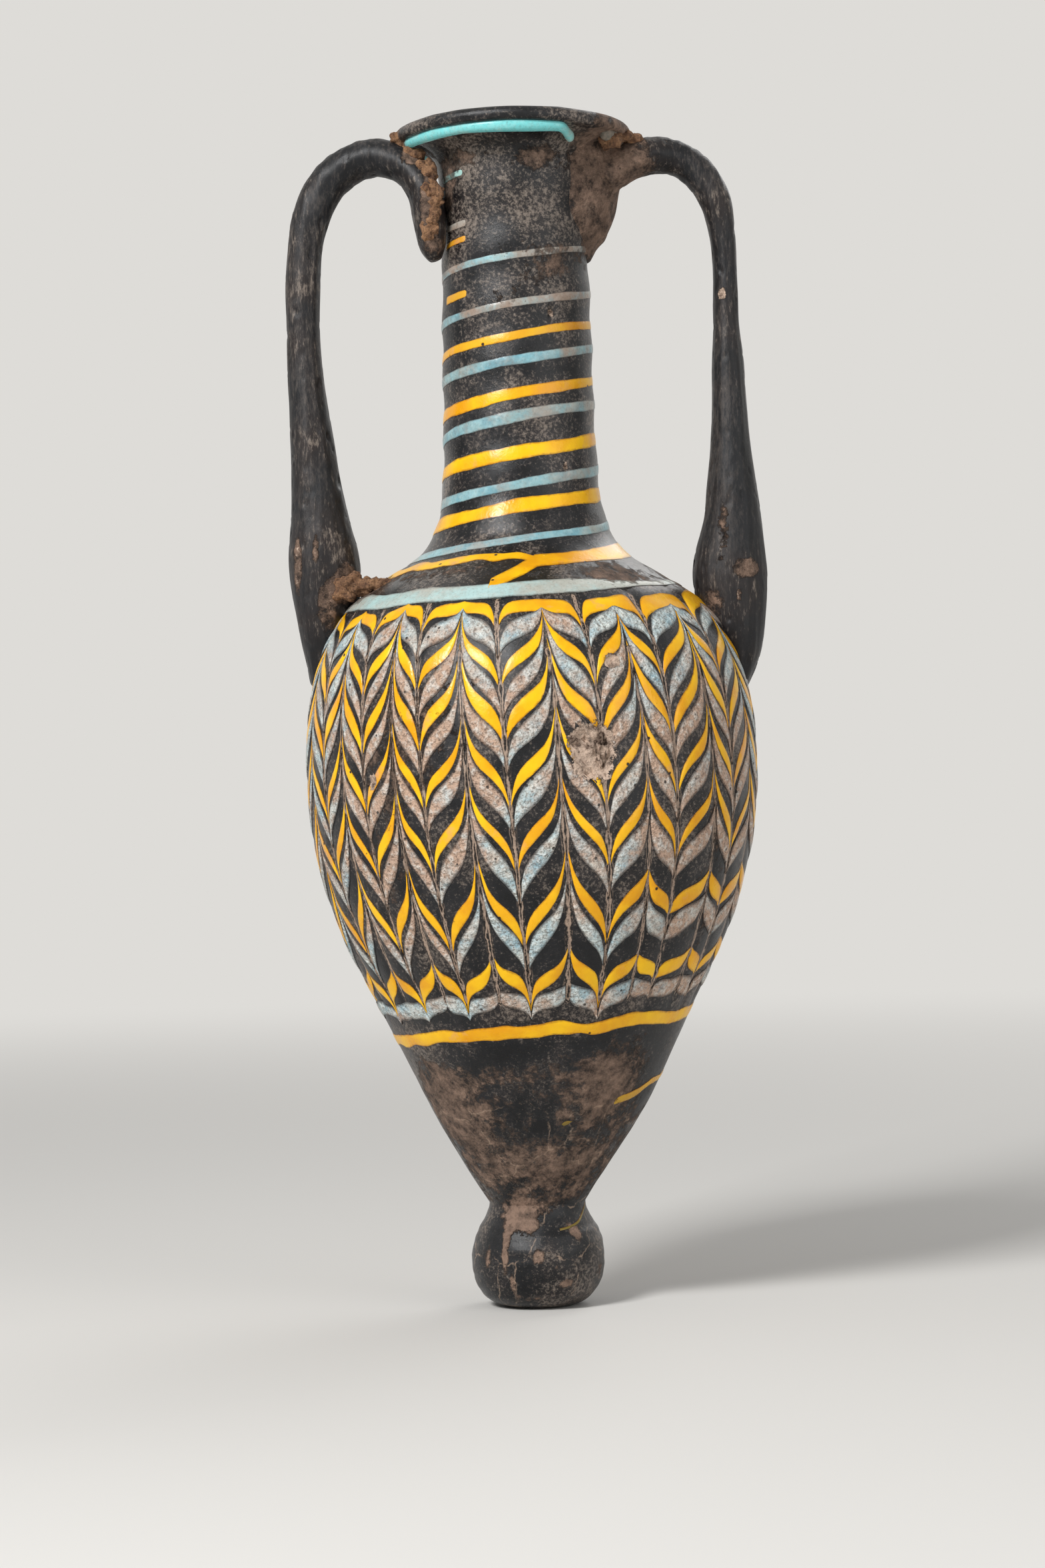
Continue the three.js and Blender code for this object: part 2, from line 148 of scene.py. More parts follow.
def curveThrough(points, stepsEach):
    # A smooth curve through points of any dimension, the same kind as the solids' own outline.
    points = [np.array(point, float) for point in points]
    padded = [2 * points[0] - points[1], *points, 2 * points[-1] - points[-2]]
    curve = []
    for a, b, c, d in zip(padded, padded[1:], padded[2:], padded[3:]):
        for step in range(stepsEach):
            t = step / stepsEach
            curve.append(0.5 * (2 * b + (c - a) * t + (2 * a - 5 * b + 4 * c - d) * t * t
                                + (3 * b - a - 3 * c + d) * t ** 3))
    return np.array([*curve, points[-1]])


outline = curveThrough(vessel["outline"], 24)
outline[:, 1] += vessel["seat"]
neckTop = float(outline[-1, 1])
neckTopRadius = float(outline[-1, 0])
tableStep = 0.05
tableHeights = np.arange(vessel["seat"], neckTop + tableStep, tableStep)
radiusTable = np.interp(tableHeights, outline[:, 1], outline[:, 0]).tolist()
axisTable = np.interp(tableHeights, *curveThrough(vessel["axis"], 12).T[::-1]).tolist()


def readTable(table, height):
    # The value at a height, and how much it grows there for each millimetre up.
    place = min(max((height - vessel["seat"]) / tableStep, 0.0), len(table) - 1.001)
    index = int(place)
    low, high = table[index:index + 2]
    return low + (high - low) * (place - index), (high - low) / tableStep


def smooth(value, low, high):
    t = min(1.0, max(0.0, (value - low) / (high - low)))
    return t * t * (3 - 2 * t)


def turnedBy(angle, other):
    return (angle - other + 180) % 360 - 180


# A stroke number runs round the vessel: even at each downward stroke, odd at each upward one.
# Number 0 is the downward stroke nearest to the front.
def strokeAngle(stroke, height):
    front = comb["frontStrokes"]
    laps, place = divmod(stroke + len(front) // 2, comb["strokes"])
    last = len(front) - 1
    if place < last:
        index = int(place)
        angle = front[index] + (front[index + 1] - front[index]) * (place - index)
    else:
        angle = front[last] + (front[0] + 360 - front[last]) * (place - last) / (comb["strokes"] - last)
    angle += 360 * laps + comb["lean"] * (comb["middle"] - height)
    turn = math.radians(angle)
    return angle + comb["wander"] * noise.noise((2.7 * math.sin(turn), 2.7 * math.cos(turn), height / 16))


strokeStrength = [1 + comb["unequal"] * random.uniform(-1, 1) for _ in range(comb["strokes"])]


def inRange(height, top, topFade, foot, footFade):
    return min(1, max(0, (top - height) / topFade)) * min(1, max(0, (height - foot) / footFade))


def combedBy(stroke, height):
    # How far the comb has dragged the glass at this stroke number, up or down.
    climb = 1 - abs(stroke % 2 - 1)
    strength = strokeStrength[round(stroke) % comb["strokes"]]
    place = (stroke + comb["strokes"] / 2) % comb["strokes"] - comb["strokes"] / 2
    tired = comb["tired"] * smooth(place, 1.5, 3.5) * smooth(-place, -9, -7) * smooth(-height, -64, -53)
    strength *= 1 - tired
    lift = comb["slope"] * (1 - tired) * (climb - 0.5)
    lift += comb["upPull"] * strength * math.exp((climb - 1) / comb["sharpness"])
    drop = comb["downPull"] * strength * math.exp(-climb / comb["sharpness"])
    return inRange(height, *comb["upRange"]) * lift - inRange(height, *comb["downRange"]) * drop


def combedZone(height, stroke):
    # Where the comb was in the glass: the upward strokes left it sooner than the downward ones.
    top = 82.5 if round(stroke) % 2 else 89
    return smooth(height, 36, 40) * (1 - smooth(height, top, top + 3))


def fromStroke(stroke, radius):
    # Millimetres round the vessel to the nearest stroke.
    return abs(stroke - round(stroke)) * 2 * math.pi / comb["strokes"] * radius


def reliefAt(angle, height, stroke=None):
    radius, _ = readTable(radiusTable, height)
    turn = math.radians(angle)
    spot = Vector((radius * math.sin(turn), -radius * math.cos(turn), height))
    relief = vessel["unevenness"] * noise.noise(spot / vessel["unevenSize"])
    relief += vessel["grain"] * noise.noise(spot / vessel["grainSize"])
    if stroke is not None:
        across = fromStroke(stroke, radius) / vessel["fluteWidth"]
        relief -= vessel["fluteDepth"] * combedZone(height, stroke) * math.exp(-across * across)
    if height > 98:
        relief += vessel["neckRipple"] * math.sin(2 * math.pi * (height - 96.6) / vessel["neckPitch"] - turn)
    for markAngle, markHeight, halfWidth, halfHeight, depth in marks:
        across = math.radians(turnedBy(angle, markAngle)) * radius / halfWidth
        along = (height - markHeight) / halfHeight
        if abs(across) < 1.6 and abs(along) < 1.6:
            reach = math.hypot(across, along) + 0.45 * noise.noise(spot * 0.9)
            relief -= depth * (1 - smooth(reach, 0.6, 1.0)) * (0.8 + 0.9 * noise.noise(spot * 1.7))
    ends = smooth(height, vessel["seat"], vessel["seat"] + 2.5) * smooth(-height, -neckTop, 2.5 - neckTop)
    return relief * ends


def onVessel(angle, height, lift=0.0, stroke=None):
    radius, slope = readTable(radiusTable, height)
    shift, _ = readTable(axisTable, height)
    steep = math.hypot(1, slope)
    out = lift + reliefAt(angle, height, stroke)
    reach = radius + out / steep
    turn = math.radians(angle)
    return Vector((reach * math.sin(turn) + shift, -reach * math.cos(turn), height - out * slope / steep))


def bareAt(angle, height):
    # Above zero near a bruise, where the skin of the glass is gone and its crumbly inside shows.
    radius, _ = readTable(radiusTable, height)
    most = 0.0
    for markAngle, markHeight, halfWidth, halfHeight, _ in marks:
        across = math.radians(turnedBy(angle, markAngle)) * radius / halfWidth
        most = max(most, 1.5 - math.hypot(across, (height - markHeight) / halfHeight))
    return min(1.0, most)


def soilAt(angle, height):
    soil = 0.12 + 0.4 * (1 - smooth(height, 24, 35)) * smooth(height, 11, 14) + 0.08 * smooth(height, 96, 140)
    for patchAngle, patchHeight, halfWidth, halfHeight, strength in soilPatches:
        across = turnedBy(angle, patchAngle) / halfWidth
        along = (height - patchHeight) / halfHeight
        if abs(across) < 2.5 and abs(along) < 2.5:
            soil += strength * math.exp(-across * across - along * along)
    return min(1.0, soil)


# Materials. The meshes carry what they need: soil and bare as above, apart for the millimetres to the
# nearest comb stroke, and edge for how near a thread's rim is.

def linear(colour):
    channels = [int(colour[i:i + 2], 16) / 255 for i in (1, 3, 5)]
    return (*[c / 12.92 if c <= 0.04045 else ((c + 0.055) / 1.055) ** 2.4 for c in channels], 1.0)


def addNode(tree, kind, inputs, output=0, **settings):
    # Inputs are given by name or number, as a value or as the socket that feeds them.
    node = tree.nodes.new(kind)
    for name, value in settings.items():
        setattr(node, name, value)
    for name, value in inputs.items():
        if isinstance(value, bpy.types.NodeSocket):
            tree.links.new(value, node.inputs[name])
        else:
            node.inputs[name].default_value = value
    return node.outputs[output] if node.outputs else node


def newMaterial(name):
    material = bpy.data.materials.new(name)
    material.use_nodes = True
    material.node_tree.nodes.clear()
    tree = material.node_tree
    return material, tree, addNode(tree, "ShaderNodeTexCoord", {}, "Object")


def perMm(size):
    # The texture scale at which a pattern's features are about this many millimetres.
    return 1 / (size * mm)


def between(low, high, toLow=0.0, toHigh=1.0):
    # The sockets of a Map Range node.
    return {"From Min": low, "From Max": high, "To Min": toLow, "To Max": toHigh}


def clouds(size, detail, roughness):
    # The sockets of a Noise Texture node.
    return {"Scale": perMm(size), "Detail": detail, "Roughness": roughness}


def finishMaterial(tree, colour, roughness, height, depth, specular=0.5):
    bump = addNode(tree, "ShaderNodeBump", {"Strength": 1.0, "Distance": depth * mm, "Height": height})
    shader = addNode(tree, "ShaderNodeBsdfPrincipled", {
        "Base Color": colour, "Roughness": roughness, "Normal": bump, "IOR": 1.5,
        "Specular IOR Level": specular})
    addNode(tree, "ShaderNodeOutputMaterial", {"Surface": shader})


def finishGlass(tree, place, colour, roughness, height, depth, soilShare=1.0, specular=0.38):
    # Lays burial soil and bruises over a glass, and low down a few tan cracks. Its height pattern is
    # this many millimetres deep.
    soil = addNode(tree, "ShaderNodeAttribute", {}, "Fac", attribute_name="soil")
    bare = addNode(tree, "ShaderNodeAttribute", {}, "Fac", attribute_name="bare")
    clots = addNode(tree, "ShaderNodeTexNoise", {"Vector": place, **clouds(2.2, 10.0, 0.77)}, "Fac")
    hue = addNode(tree, "ShaderNodeTexNoise", {"Vector": place, **clouds(1.6, 7.0, 0.76)}, "Fac")
    grit = addNode(tree, "ShaderNodeTexNoise", {"Vector": place, **clouds(0.5, 3.0, 0.75)}, "Fac")
    bent = addNode(tree, "ShaderNodeTexNoise", {"Vector": place, **clouds(3.0, 3.0, 0.6)}, "Color")
    bentPlace = addNode(tree, "ShaderNodeVectorMath", {
        0: bent, 1: (0.0024, 0.0024, 0.0024), 2: place}, operation="MULTIPLY_ADD")
    cell = addNode(tree, "ShaderNodeTexVoronoi", {
        "Vector": bentPlace, "Scale": perMm(8.5), "Randomness": 1.0}, feature="DISTANCE_TO_EDGE")
    crack = addNode(tree, "ShaderNodeMapRange", {"Value": cell, **between(0.004, 0.015, 1.0, 0.0)})
    level = addNode(tree, "ShaderNodeSeparateXYZ", {"Vector": place}, "Z")
    lowDown = addNode(tree, "ShaderNodeMapRange", {"Value": level, **between(0.025, 0.034, 0.32, 0.0)})
    patchy = addNode(tree, "ShaderNodeMath", {0: lowDown, 1: hue}, operation="ADD")
    crackHere = addNode(tree, "ShaderNodeMapRange", {"Value": patchy, **between(0.76, 0.88, 0.0, 0.55)})
    cracked = addNode(tree, "ShaderNodeMath", {0: crack, 1: crackHere}, operation="MULTIPLY")
    held = addNode(tree, "ShaderNodeMath", {0: soil, 1: 0.5 * soilShare, 2: clots}, operation="MULTIPLY_ADD")
    film = addNode(tree, "ShaderNodeMapRange", {
        "Value": held, **between(0.79, 0.9, 0.0, 0.85)}, interpolation_type="SMOOTHSTEP")
    chipped = addNode(tree, "ShaderNodeMath", {0: grit, 1: 0.8, 2: bare}, operation="MULTIPLY_ADD")
    ragged = addNode(tree, "ShaderNodeMath", {0: clots, 1: 1.4, 2: chipped}, operation="MULTIPLY_ADD")
    broken = addNode(tree, "ShaderNodeMapRange", {
        "Value": ragged, **between(1.6, 1.68)}, interpolation_type="SMOOTHSTEP")
    chalky = addNode(tree, "ShaderNodeMapRange", {"Value": level, **between(0.0125, 0.017, 0.09, 0.0)})
    dried = addNode(tree, "ShaderNodeMath", {0: hue, 1: chalky}, operation="ADD")
    thick = addNode(tree, "ShaderNodeMath", {0: soil, 1: 0.06, 2: dried}, operation="MULTIPLY_ADD")
    soilTone = addNode(tree, "ShaderNodeMapRange", {"Value": thick, **between(0.42, 0.7)})
    soilColour = addNode(tree, "ShaderNodeMix", {
        0: soilTone, 6: linear("#261c16"), 7: linear("#937968")}, 2, data_type="RGBA")
    bruiseTone = addNode(tree, "ShaderNodeMapRange", {"Value": hue, **between(0.36, 0.54)})
    bruiseColour = addNode(tree, "ShaderNodeMix", {
        0: bruiseTone, 6: linear("#46342a"), 7: linear("#cbb3a0")}, 2, data_type="RGBA")
    soiled = addNode(tree, "ShaderNodeMix", {0: film, 6: colour, 7: soilColour}, 2, data_type="RGBA")
    lined = addNode(tree, "ShaderNodeMix", {0: cracked, 6: soiled, 7: linear("#a8907c")}, 2, data_type="RGBA")
    colour = addNode(tree, "ShaderNodeMix", {0: broken, 6: lined, 7: bruiseColour}, 2, data_type="RGBA")
    rough = addNode(tree, "ShaderNodeMix", {0: film, 2: roughness, 3: 0.85}, data_type="FLOAT")
    roughness = addNode(tree, "ShaderNodeMix", {0: broken, 2: rough, 3: 0.9}, data_type="FLOAT")
    cover = addNode(tree, "ShaderNodeMath", {0: film, 1: broken}, operation="MAXIMUM")
    grain = addNode(tree, "ShaderNodeMath", {0: grit, 1: cover}, operation="MULTIPLY")
    height = addNode(tree, "ShaderNodeMath", {0: grain, 1: 0.3 / depth, 2: height}, operation="MULTIPLY_ADD")
    finishMaterial(tree, colour, roughness, height, depth, specular)


def strokeLines(tree, place, colour, reach):
    # Where the comb passed, threads of every colour were drawn out into fine dark and tan lines.
    apart = addNode(tree, "ShaderNodeAttribute", {}, "Fac", attribute_name="apart")
    jitter = addNode(tree, "ShaderNodeTexNoise", {"Vector": place, **clouds(2.6, 2.0, 0.5)}, "Fac")
    wavy = addNode(tree, "ShaderNodeMath", {0: jitter, 1: 0.6, 2: apart}, operation="MULTIPLY_ADD")
    near = addNode(tree, "ShaderNodeMapRange", {
        "Value": wavy, **between(0.3 + reach * 0.5, 0.3 + reach, 1.0, 0.0)}, interpolation_type="SMOOTHSTEP")
    drawn = addNode(tree, "ShaderNodeMapping", {"Vector": place, "Scale": (1.0, 1.0, 0.16)})
    strands = addNode(tree, "ShaderNodeTexNoise", {"Vector": drawn, **clouds(0.7, 4.0, 0.65)}, "Fac")
    shift = addNode(tree, "ShaderNodeMath", {0: strands, 1: 16.0}, operation="MULTIPLY")
    swing = addNode(tree, "ShaderNodeMath", {0: wavy, 1: 2 * math.pi / 0.42, 2: shift}, operation="MULTIPLY_ADD")
    wave = addNode(tree, "ShaderNodeMath", {0: swing}, operation="SINE")
    crumbs = addNode(tree, "ShaderNodeTexNoise", {"Vector": place, **clouds(0.32, 3.0, 0.7)}, "Fac")
    crusty = addNode(tree, "ShaderNodeMath", {0: crumbs, 1: 3.0, 2: wave}, operation="MULTIPLY_ADD")
    light = addNode(tree, "ShaderNodeMapRange", {"Value": crusty, **between(0.8, 2.5)})
    lines = addNode(tree, "ShaderNodeMix", {
        0: light, 6: linear("#15110f"), 7: linear("#a58f7e")}, 2, data_type="RGBA")
    return addNode(tree, "ShaderNodeMix", {0: near, 6: colour, 7: lines}, 2, data_type="RGBA")


def darkGlass(name, streaked=False):
    # Soda-lime glass wound on a core and rolled smooth: nearly black, with a thin satin skin from
    # weathering and pale flecks that get denser up the neck.
    material, tree, place = newMaterial(name)
    grainPlace = place
    if streaked:  # a drawn rod shows its grain lengthwise
        grainPlace = addNode(tree, "ShaderNodeMapping", {"Vector": place, "Scale": (1.0, 1.0, 0.25)})
    cloud = addNode(tree, "ShaderNodeTexNoise", {"Vector": grainPlace, **clouds(4.5, 7.0, 0.68)}, "Fac")
    fine = addNode(tree, "ShaderNodeTexNoise", {"Vector": grainPlace, **clouds(0.42, 5.0, 0.78)}, "Fac")
    warm = addNode(tree, "ShaderNodeTexNoise", {"Vector": place, **clouds(9.0, 5.0, 0.65)}, "Fac")
    tone = addNode(tree, "ShaderNodeMapRange", {"Value": cloud, **between(0.36, 0.68)})
    glass = addNode(tree, "ShaderNodeMix", {
        0: tone, 6: linear("#06070a"), 7: linear("#1b1c20")}, 2, data_type="RGBA")
    brown = addNode(tree, "ShaderNodeMapRange", {"Value": warm, **between(0.45, 0.66, 0.0, 0.6)})
    tinted = addNode(tree, "ShaderNodeMix", {0: brown, 6: glass, 7: linear("#2c221e")}, 2, data_type="RGBA")
    scratched = addNode(tree, "ShaderNodeMath", {0: cloud, 1: 0.7, 2: fine}, operation="MULTIPLY_ADD")
    high = addNode(tree, "ShaderNodeSeparateXYZ", {"Vector": place}, "Z")
    most = addNode(tree, "ShaderNodeMapRange", {"Value": high, **between(0.086, 0.112, 0.15, 0.6)})
    dust = addNode(tree, "ShaderNodeMapRange", {"Value": scratched, "To Max": most, "From Min": 0.83, "From Max": 1.02})
    dusty = addNode(tree, "ShaderNodeMix", {0: dust, 6: tinted, 7: linear("#514b47")}, 2, data_type="RGBA")
    upNeck = addNode(tree, "ShaderNodeMapRange", {"Value": high, **between(0.105, 0.14, -0.262, -0.235)})
    crowded = addNode(tree, "ShaderNodeMath", {0: warm, 1: 0.7, 2: fine}, operation="MULTIPLY_ADD")
    flecks = addNode(tree, "ShaderNodeMath", {0: crowded, 1: upNeck}, operation="ADD")
    start = 0.7 if streaked else 0.62
    speck = addNode(tree, "ShaderNodeMapRange", {"Value": flecks, **between(start, start + 0.16, 0.0, 0.6)})
    flecked = addNode(tree, "ShaderNodeMix", {0: speck, 6: dusty, 7: linear("#94877b")}, 2, data_type="RGBA")
    lined = strokeLines(tree, place, flecked, 0.5)
    satin = 0.32 if streaked else 0.22
    skin = addNode(tree, "ShaderNodeMapRange", {"Value": cloud, **between(0.3, 0.7, satin, satin + 0.24)})
    glossy = 1.0 if streaked else 0.55  # the body is glossier where the neck flares out
    above = addNode(tree, "ShaderNodeMath", {0: high, 1: 0.098}, operation="SUBTRACT")
    apartFrom = addNode(tree, "ShaderNodeMath", {0: above}, operation="ABSOLUTE")
    worn = addNode(tree, "ShaderNodeMapRange", {"Value": apartFrom, **between(0.006, 0.018, glossy, 1.0)})
    rough = addNode(tree, "ShaderNodeMath", {0: skin, 1: worn}, operation="MULTIPLY")
    finishGlass(tree, place, lined, rough, fine, 0.05, specular=0.3 if streaked else 0.36)
    return material


def yellowGlass(name):
    # Opaque lead-tin yellow glass pressed flush: glossy, deeper orange in places, with peach-coloured
    # worn spots, a brown rim where it met the dark glass and a few round bubble holes. Near the foot it
    # turns a darker olive.
    material, tree, place = newMaterial(name)
    cloud = addNode(tree, "ShaderNodeTexNoise", {"Vector": place, **clouds(5.0, 3.0, 0.55)}, "Fac")
    fine = addNode(tree, "ShaderNodeTexNoise", {"Vector": place, **clouds(0.6, 3.0, 0.65)}, "Fac")
    worn = addNode(tree, "ShaderNodeTexNoise", {"Vector": place, **clouds(7.0, 5.0, 0.7)}, "Fac")
    edge = addNode(tree, "ShaderNodeAttribute", {}, "Fac", attribute_name="edge")
    bubbles = addNode(tree, "ShaderNodeTexVoronoi", {"Vector": place, "Scale": perMm(2.8), "Randomness": 1.0})
    tone = addNode(tree, "ShaderNodeMapRange", {"Value": cloud, **between(0.35, 0.65)})
    glass = addNode(tree, "ShaderNodeMix", {
        0: tone, 6: linear("#e8a000"), 7: linear("#fcc508")}, 2, data_type="RGBA")
    peach = addNode(tree, "ShaderNodeMapRange", {"Value": worn, **between(0.58, 0.7, 0.0, 0.75)})
    level = addNode(tree, "ShaderNodeSeparateXYZ", {"Vector": place}, "Z")
    upNeck = addNode(tree, "ShaderNodeMapRange", {"Value": level, **between(0.112, 0.128, 0.0, 0.6)})
    dulled = addNode(tree, "ShaderNodeMix", {0: upNeck, 6: glass, 7: linear("#b97f35")}, 2, data_type="RGBA")
    # darker olive towards the foot
    lowDown = addNode(tree, "ShaderNodeMapRange", {"Value": level, **between(0.0235, 0.03, 0.97, 0.0)})
    darkerOliveLow = addNode(tree, "ShaderNodeMix", {0: lowDown, 6: dulled, 7: linear("#6b6029")}, 2, data_type="RGBA")
    faded = addNode(tree, "ShaderNodeMix", {0: peach, 6: darkerOliveLow, 7: linear("#d9a070")}, 2, data_type="RGBA")
    frayed = addNode(tree, "ShaderNodeMath", {0: fine, 1: 0.5, 2: edge}, operation="MULTIPLY_ADD")
    rim = addNode(tree, "ShaderNodeMapRange", {"Value": frayed, **between(0.98, 1.3, 0.0, 0.8)})
    rimmed = addNode(tree, "ShaderNodeMix", {0: rim, 6: faded, 7: linear("#7d4410")}, 2, data_type="RGBA")
    hole = addNode(tree, "ShaderNodeMapRange", {"Value": bubbles, **between(0.055, 0.085, 1.0, 0.0)})
    holed = addNode(tree, "ShaderNodeMix", {0: hole, 6: rimmed, 7: linear("#2b1c10")}, 2, data_type="RGBA")
    lined = strokeLines(tree, place, holed, 0.3)
    rough = addNode(tree, "ShaderNodeMapRange", {"Value": cloud, **between(0.3, 0.7, 0.2, 0.36)})
    sunk = addNode(tree, "ShaderNodeMath", {0: hole, 1: -1.5, 2: fine}, operation="MULTIPLY_ADD")
    finishGlass(tree, place, lined, rough, sunk, 0.05, soilShare=0.6)
    return material


def turquoiseGlass(name, pitted):
    # Opaque copper turquoise glass. On the belly it is weathered to a pale grey and tan crust full of
    # fine pits, with painted near-white highlights on its lumps and a fine grain darkened partly by grit
    # and partly by painted shade. On the neck it is smooth and bluer and high up rubbed dull, at the rim
    # brightest, and on the shoulder pale from a whitish film and a painted highlight.
    material, tree, place = newMaterial(name)
    cloud = addNode(tree, "ShaderNodeTexNoise", {"Vector": place, **clouds(4.0, 6.0, 0.7)}, "Fac")
    fine = addNode(tree, "ShaderNodeTexNoise", {"Vector": place, **clouds(0.34, 4.0, 0.75)}, "Fac")
    lumps = addNode(tree, "ShaderNodeTexNoise", {"Vector": place, **clouds(0.85, 2.5, 0.55)}, "Fac")
    patches = addNode(tree, "ShaderNodeTexNoise", {"Vector": place, **clouds(9.0, 7.0, 0.72)}, "Fac")
    soil = addNode(tree, "ShaderNodeAttribute", {}, "Fac", attribute_name="soil")
    rimmed = addNode(tree, "ShaderNodeAttribute", {}, "Fac", attribute_name="edge")
    cells = addNode(tree, "ShaderNodeTexVoronoi", {"Vector": place, "Scale": perMm(1.9), "Randomness": 1.0})
    level = addNode(tree, "ShaderNodeSeparateXYZ", {"Vector": place}, "Z")
    tone = addNode(tree, "ShaderNodeMapRange", {"Value": cloud, **between(0.38, 0.6)})
    pale, blue = ("#d6ddd8", "#9fbfca") if pitted else ("#9cc6cb", "#74aebd")
    glass = addNode(tree, "ShaderNodeMix", {0: tone, 6: linear(blue), 7: linear(pale)}, 2, data_type="RGBA")
    if not pitted:
        rim = addNode(tree, "ShaderNodeMapRange", {"Value": level, **between(0.138, 0.142)})
        bright = addNode(tree, "ShaderNodeMix", {0: rim, 6: glass, 7: linear("#76cfd0")}, 2, data_type="RGBA")
        # paler on the shoulder: partly a whitish film, partly a painted highlight where the shoulder faces the light
        shoulder = addNode(tree, "ShaderNodeMapRange", {"Value": level, **between(0.0925, 0.096, 0.85, 0.0)})
        lit = addNode(tree, "ShaderNodeMix", {0: shoulder, 6: bright, 7: linear("#bfdcd8")}, 2, data_type="RGBA")
        upNeck = addNode(tree, "ShaderNodeMapRange", {"Value": level, **between(0.1, 0.126, 0.35, 1.0)})
        belowRim = addNode(tree, "ShaderNodeMapRange", {"Value": level, **between(0.136, 0.14, 1.0, 0.0)})
        worn = addNode(tree, "ShaderNodeMapRange", {"Value": patches, **between(0.36, 0.56, 0.1, 0.9)})
        rubbed = addNode(tree, "ShaderNodeMath", {0: upNeck, 1: belowRim}, operation="MULTIPLY")
        dull = addNode(tree, "ShaderNodeMath", {0: rubbed, 1: worn}, operation="MULTIPLY")
        glass = addNode(tree, "ShaderNodeMix", {0: dull, 6: lit, 7: linear("#67625b")}, 2, data_type="RGBA")
    tanHere = addNode(tree, "ShaderNodeMath", {0: soil, 1: 0.45, 2: patches}, operation="MULTIPLY_ADD")
    crust = addNode(tree, "ShaderNodeMapRange", {
        "Value": tanHere, **between(0.53, 0.68, 0.0, 0.85 if pitted else 0.35)})
    tan = addNode(tree, "ShaderNodeMix", {0: crust, 6: glass, 7: linear("#c9a083")}, 2, data_type="RGBA")
    # painted highlights: near-white glints on the high lumps, strong on the crust and faint on the smooth thread
    paintedGlintMask = addNode(tree, "ShaderNodeMapRange", {
        "Value": lumps, **between(0.48, 0.64, 0.0, 0.5 if pitted else 0.1)})
    withPaintedGlints = addNode(tree, "ShaderNodeMix", {0: paintedGlintMask, 6: tan, 7: linear("#eef0ea")}, 2, data_type="RGBA")
    # darker fine grain: partly dark grit in the crust, partly painted shade standing in for the relief's shading
    shade = addNode(tree, "ShaderNodeMapRange", {
        "Value": fine, **between(0.38, 0.52, 0.7 if pitted else 0.15, 0.0)})
    gritAndPaintedShade = addNode(tree, "ShaderNodeMix", {0: shade, 6: withPaintedGlints, 7: linear("#66564a")}, 2, data_type="RGBA")
    pit = addNode(tree, "ShaderNodeMapRange", {"Value": cells, **between(0.07, 0.11, 0.9 if pitted else 0.2, 0.0)})
    spotted = addNode(tree, "ShaderNodeMix", {0: pit, 6: gritAndPaintedShade, 7: linear("#37312e")}, 2, data_type="RGBA")
    frayed = addNode(tree, "ShaderNodeMath", {0: fine, 1: 1.2 if pitted else 0.5, 2: rimmed}, operation="MULTIPLY_ADD")
    start = 1.28 if pitted else 1.02
    edge = addNode(tree, "ShaderNodeMapRange", {"Value": frayed, **between(start, start + 0.26, 0.0, 0.85)})
    edged = addNode(tree, "ShaderNodeMix", {0: edge, 6: spotted, 7: linear("#3b322e")}, 2, data_type="RGBA")
    lined = strokeLines(tree, place, edged, 0.35)
    rough = addNode(tree, "ShaderNodeMapRange", {
        "Value": fine, **between(0.3, 0.7, 0.36 if pitted else 0.22, 0.62 if pitted else 0.4)})
    grainy = addNode(tree, "ShaderNodeMath", {0: fine, 1: 0.2, 2: lumps}, operation="MULTIPLY_ADD")
    sunk = addNode(tree, "ShaderNodeMath", {0: pit, 1: -0.3, 2: grainy}, operation="MULTIPLY_ADD")
    finishGlass(tree, place, lined, rough, sunk, 1.0 if pitted else 0.06, soilShare=0.6 if pitted else 1.0,
                specular=0.3 if pitted else 0.38)
    return material


def burialSoil(name):
    # Dry reddish-brown clay with grit that stuck to the glass in the ground: matt and crumbly.
    material, tree, place = newMaterial(name)
    lumps = addNode(tree, "ShaderNodeTexNoise", {"Vector": place, **clouds(1.1, 7.0, 0.75)}, "Fac")
    grit = addNode(tree, "ShaderNodeTexNoise", {"Vector": place, **clouds(0.35, 4.0, 0.75)}, "Fac")
    tone = addNode(tree, "ShaderNodeMapRange", {"Value": lumps, **between(0.34, 0.66)})
    clay = addNode(tree, "ShaderNodeMix", {
        0: tone, 6: linear("#4c2f22"), 7: linear("#b38863")}, 2, data_type="RGBA")
    dark = addNode(tree, "ShaderNodeMapRange", {"Value": grit, **between(0.36, 0.5, 0.75, 0.0)})
    colour = addNode(tree, "ShaderNodeMix", {0: dark, 6: clay, 7: linear("#2a1a13")}, 2, data_type="RGBA")
    rough = addNode(tree, "ShaderNodeMapRange", {"Value": lumps, **between(0.0, 1.0, 0.8, 1.0)})
    finishMaterial(tree, colour, rough, grit, 0.4)
    return material


bodyGlassLook = darkGlass("dark soda-lime glass, rolled and weathered satin")
rodGlassLook = darkGlass("dark soda-lime glass, drawn rod with lengthwise grain", streaked=True)
yellowLook = yellowGlass("opaque yellow glass, pressed flush and glossy")
pittedTurquoiseLook = turquoiseGlass("opaque turquoise glass, combed and weathered to pits", pitted=True)
smoothTurquoiseLook = turquoiseGlass("opaque turquoise glass, smooth thread", pitted=False)
soilLook = burialSoil("burial clay, dried and crumbly")
print("materials done")


# Making pieces

def addPiece(name, shape, look, slot, *nodes):
    bmesh.ops.scale(shape, vec=(mm, mm, mm), verts=shape.verts)
    mesh = bpy.data.meshes.new(name)
    shape.to_mesh(mesh)
    shape.free()
    piece = bpy.data.objects.new(name, mesh)
    bpy.context.scene.collection.objects.link(piece)
    mesh.materials.append(look)
    mesh.shade_smooth()
    mesh.set_sharp_from_angle(angle=math.radians(50))
    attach(piece, "root")
    if nodes:
        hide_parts(*nodes)
    return piece


def addLayers(shape, *names):
    return [shape.verts.layers.float.new(name) for name in names]


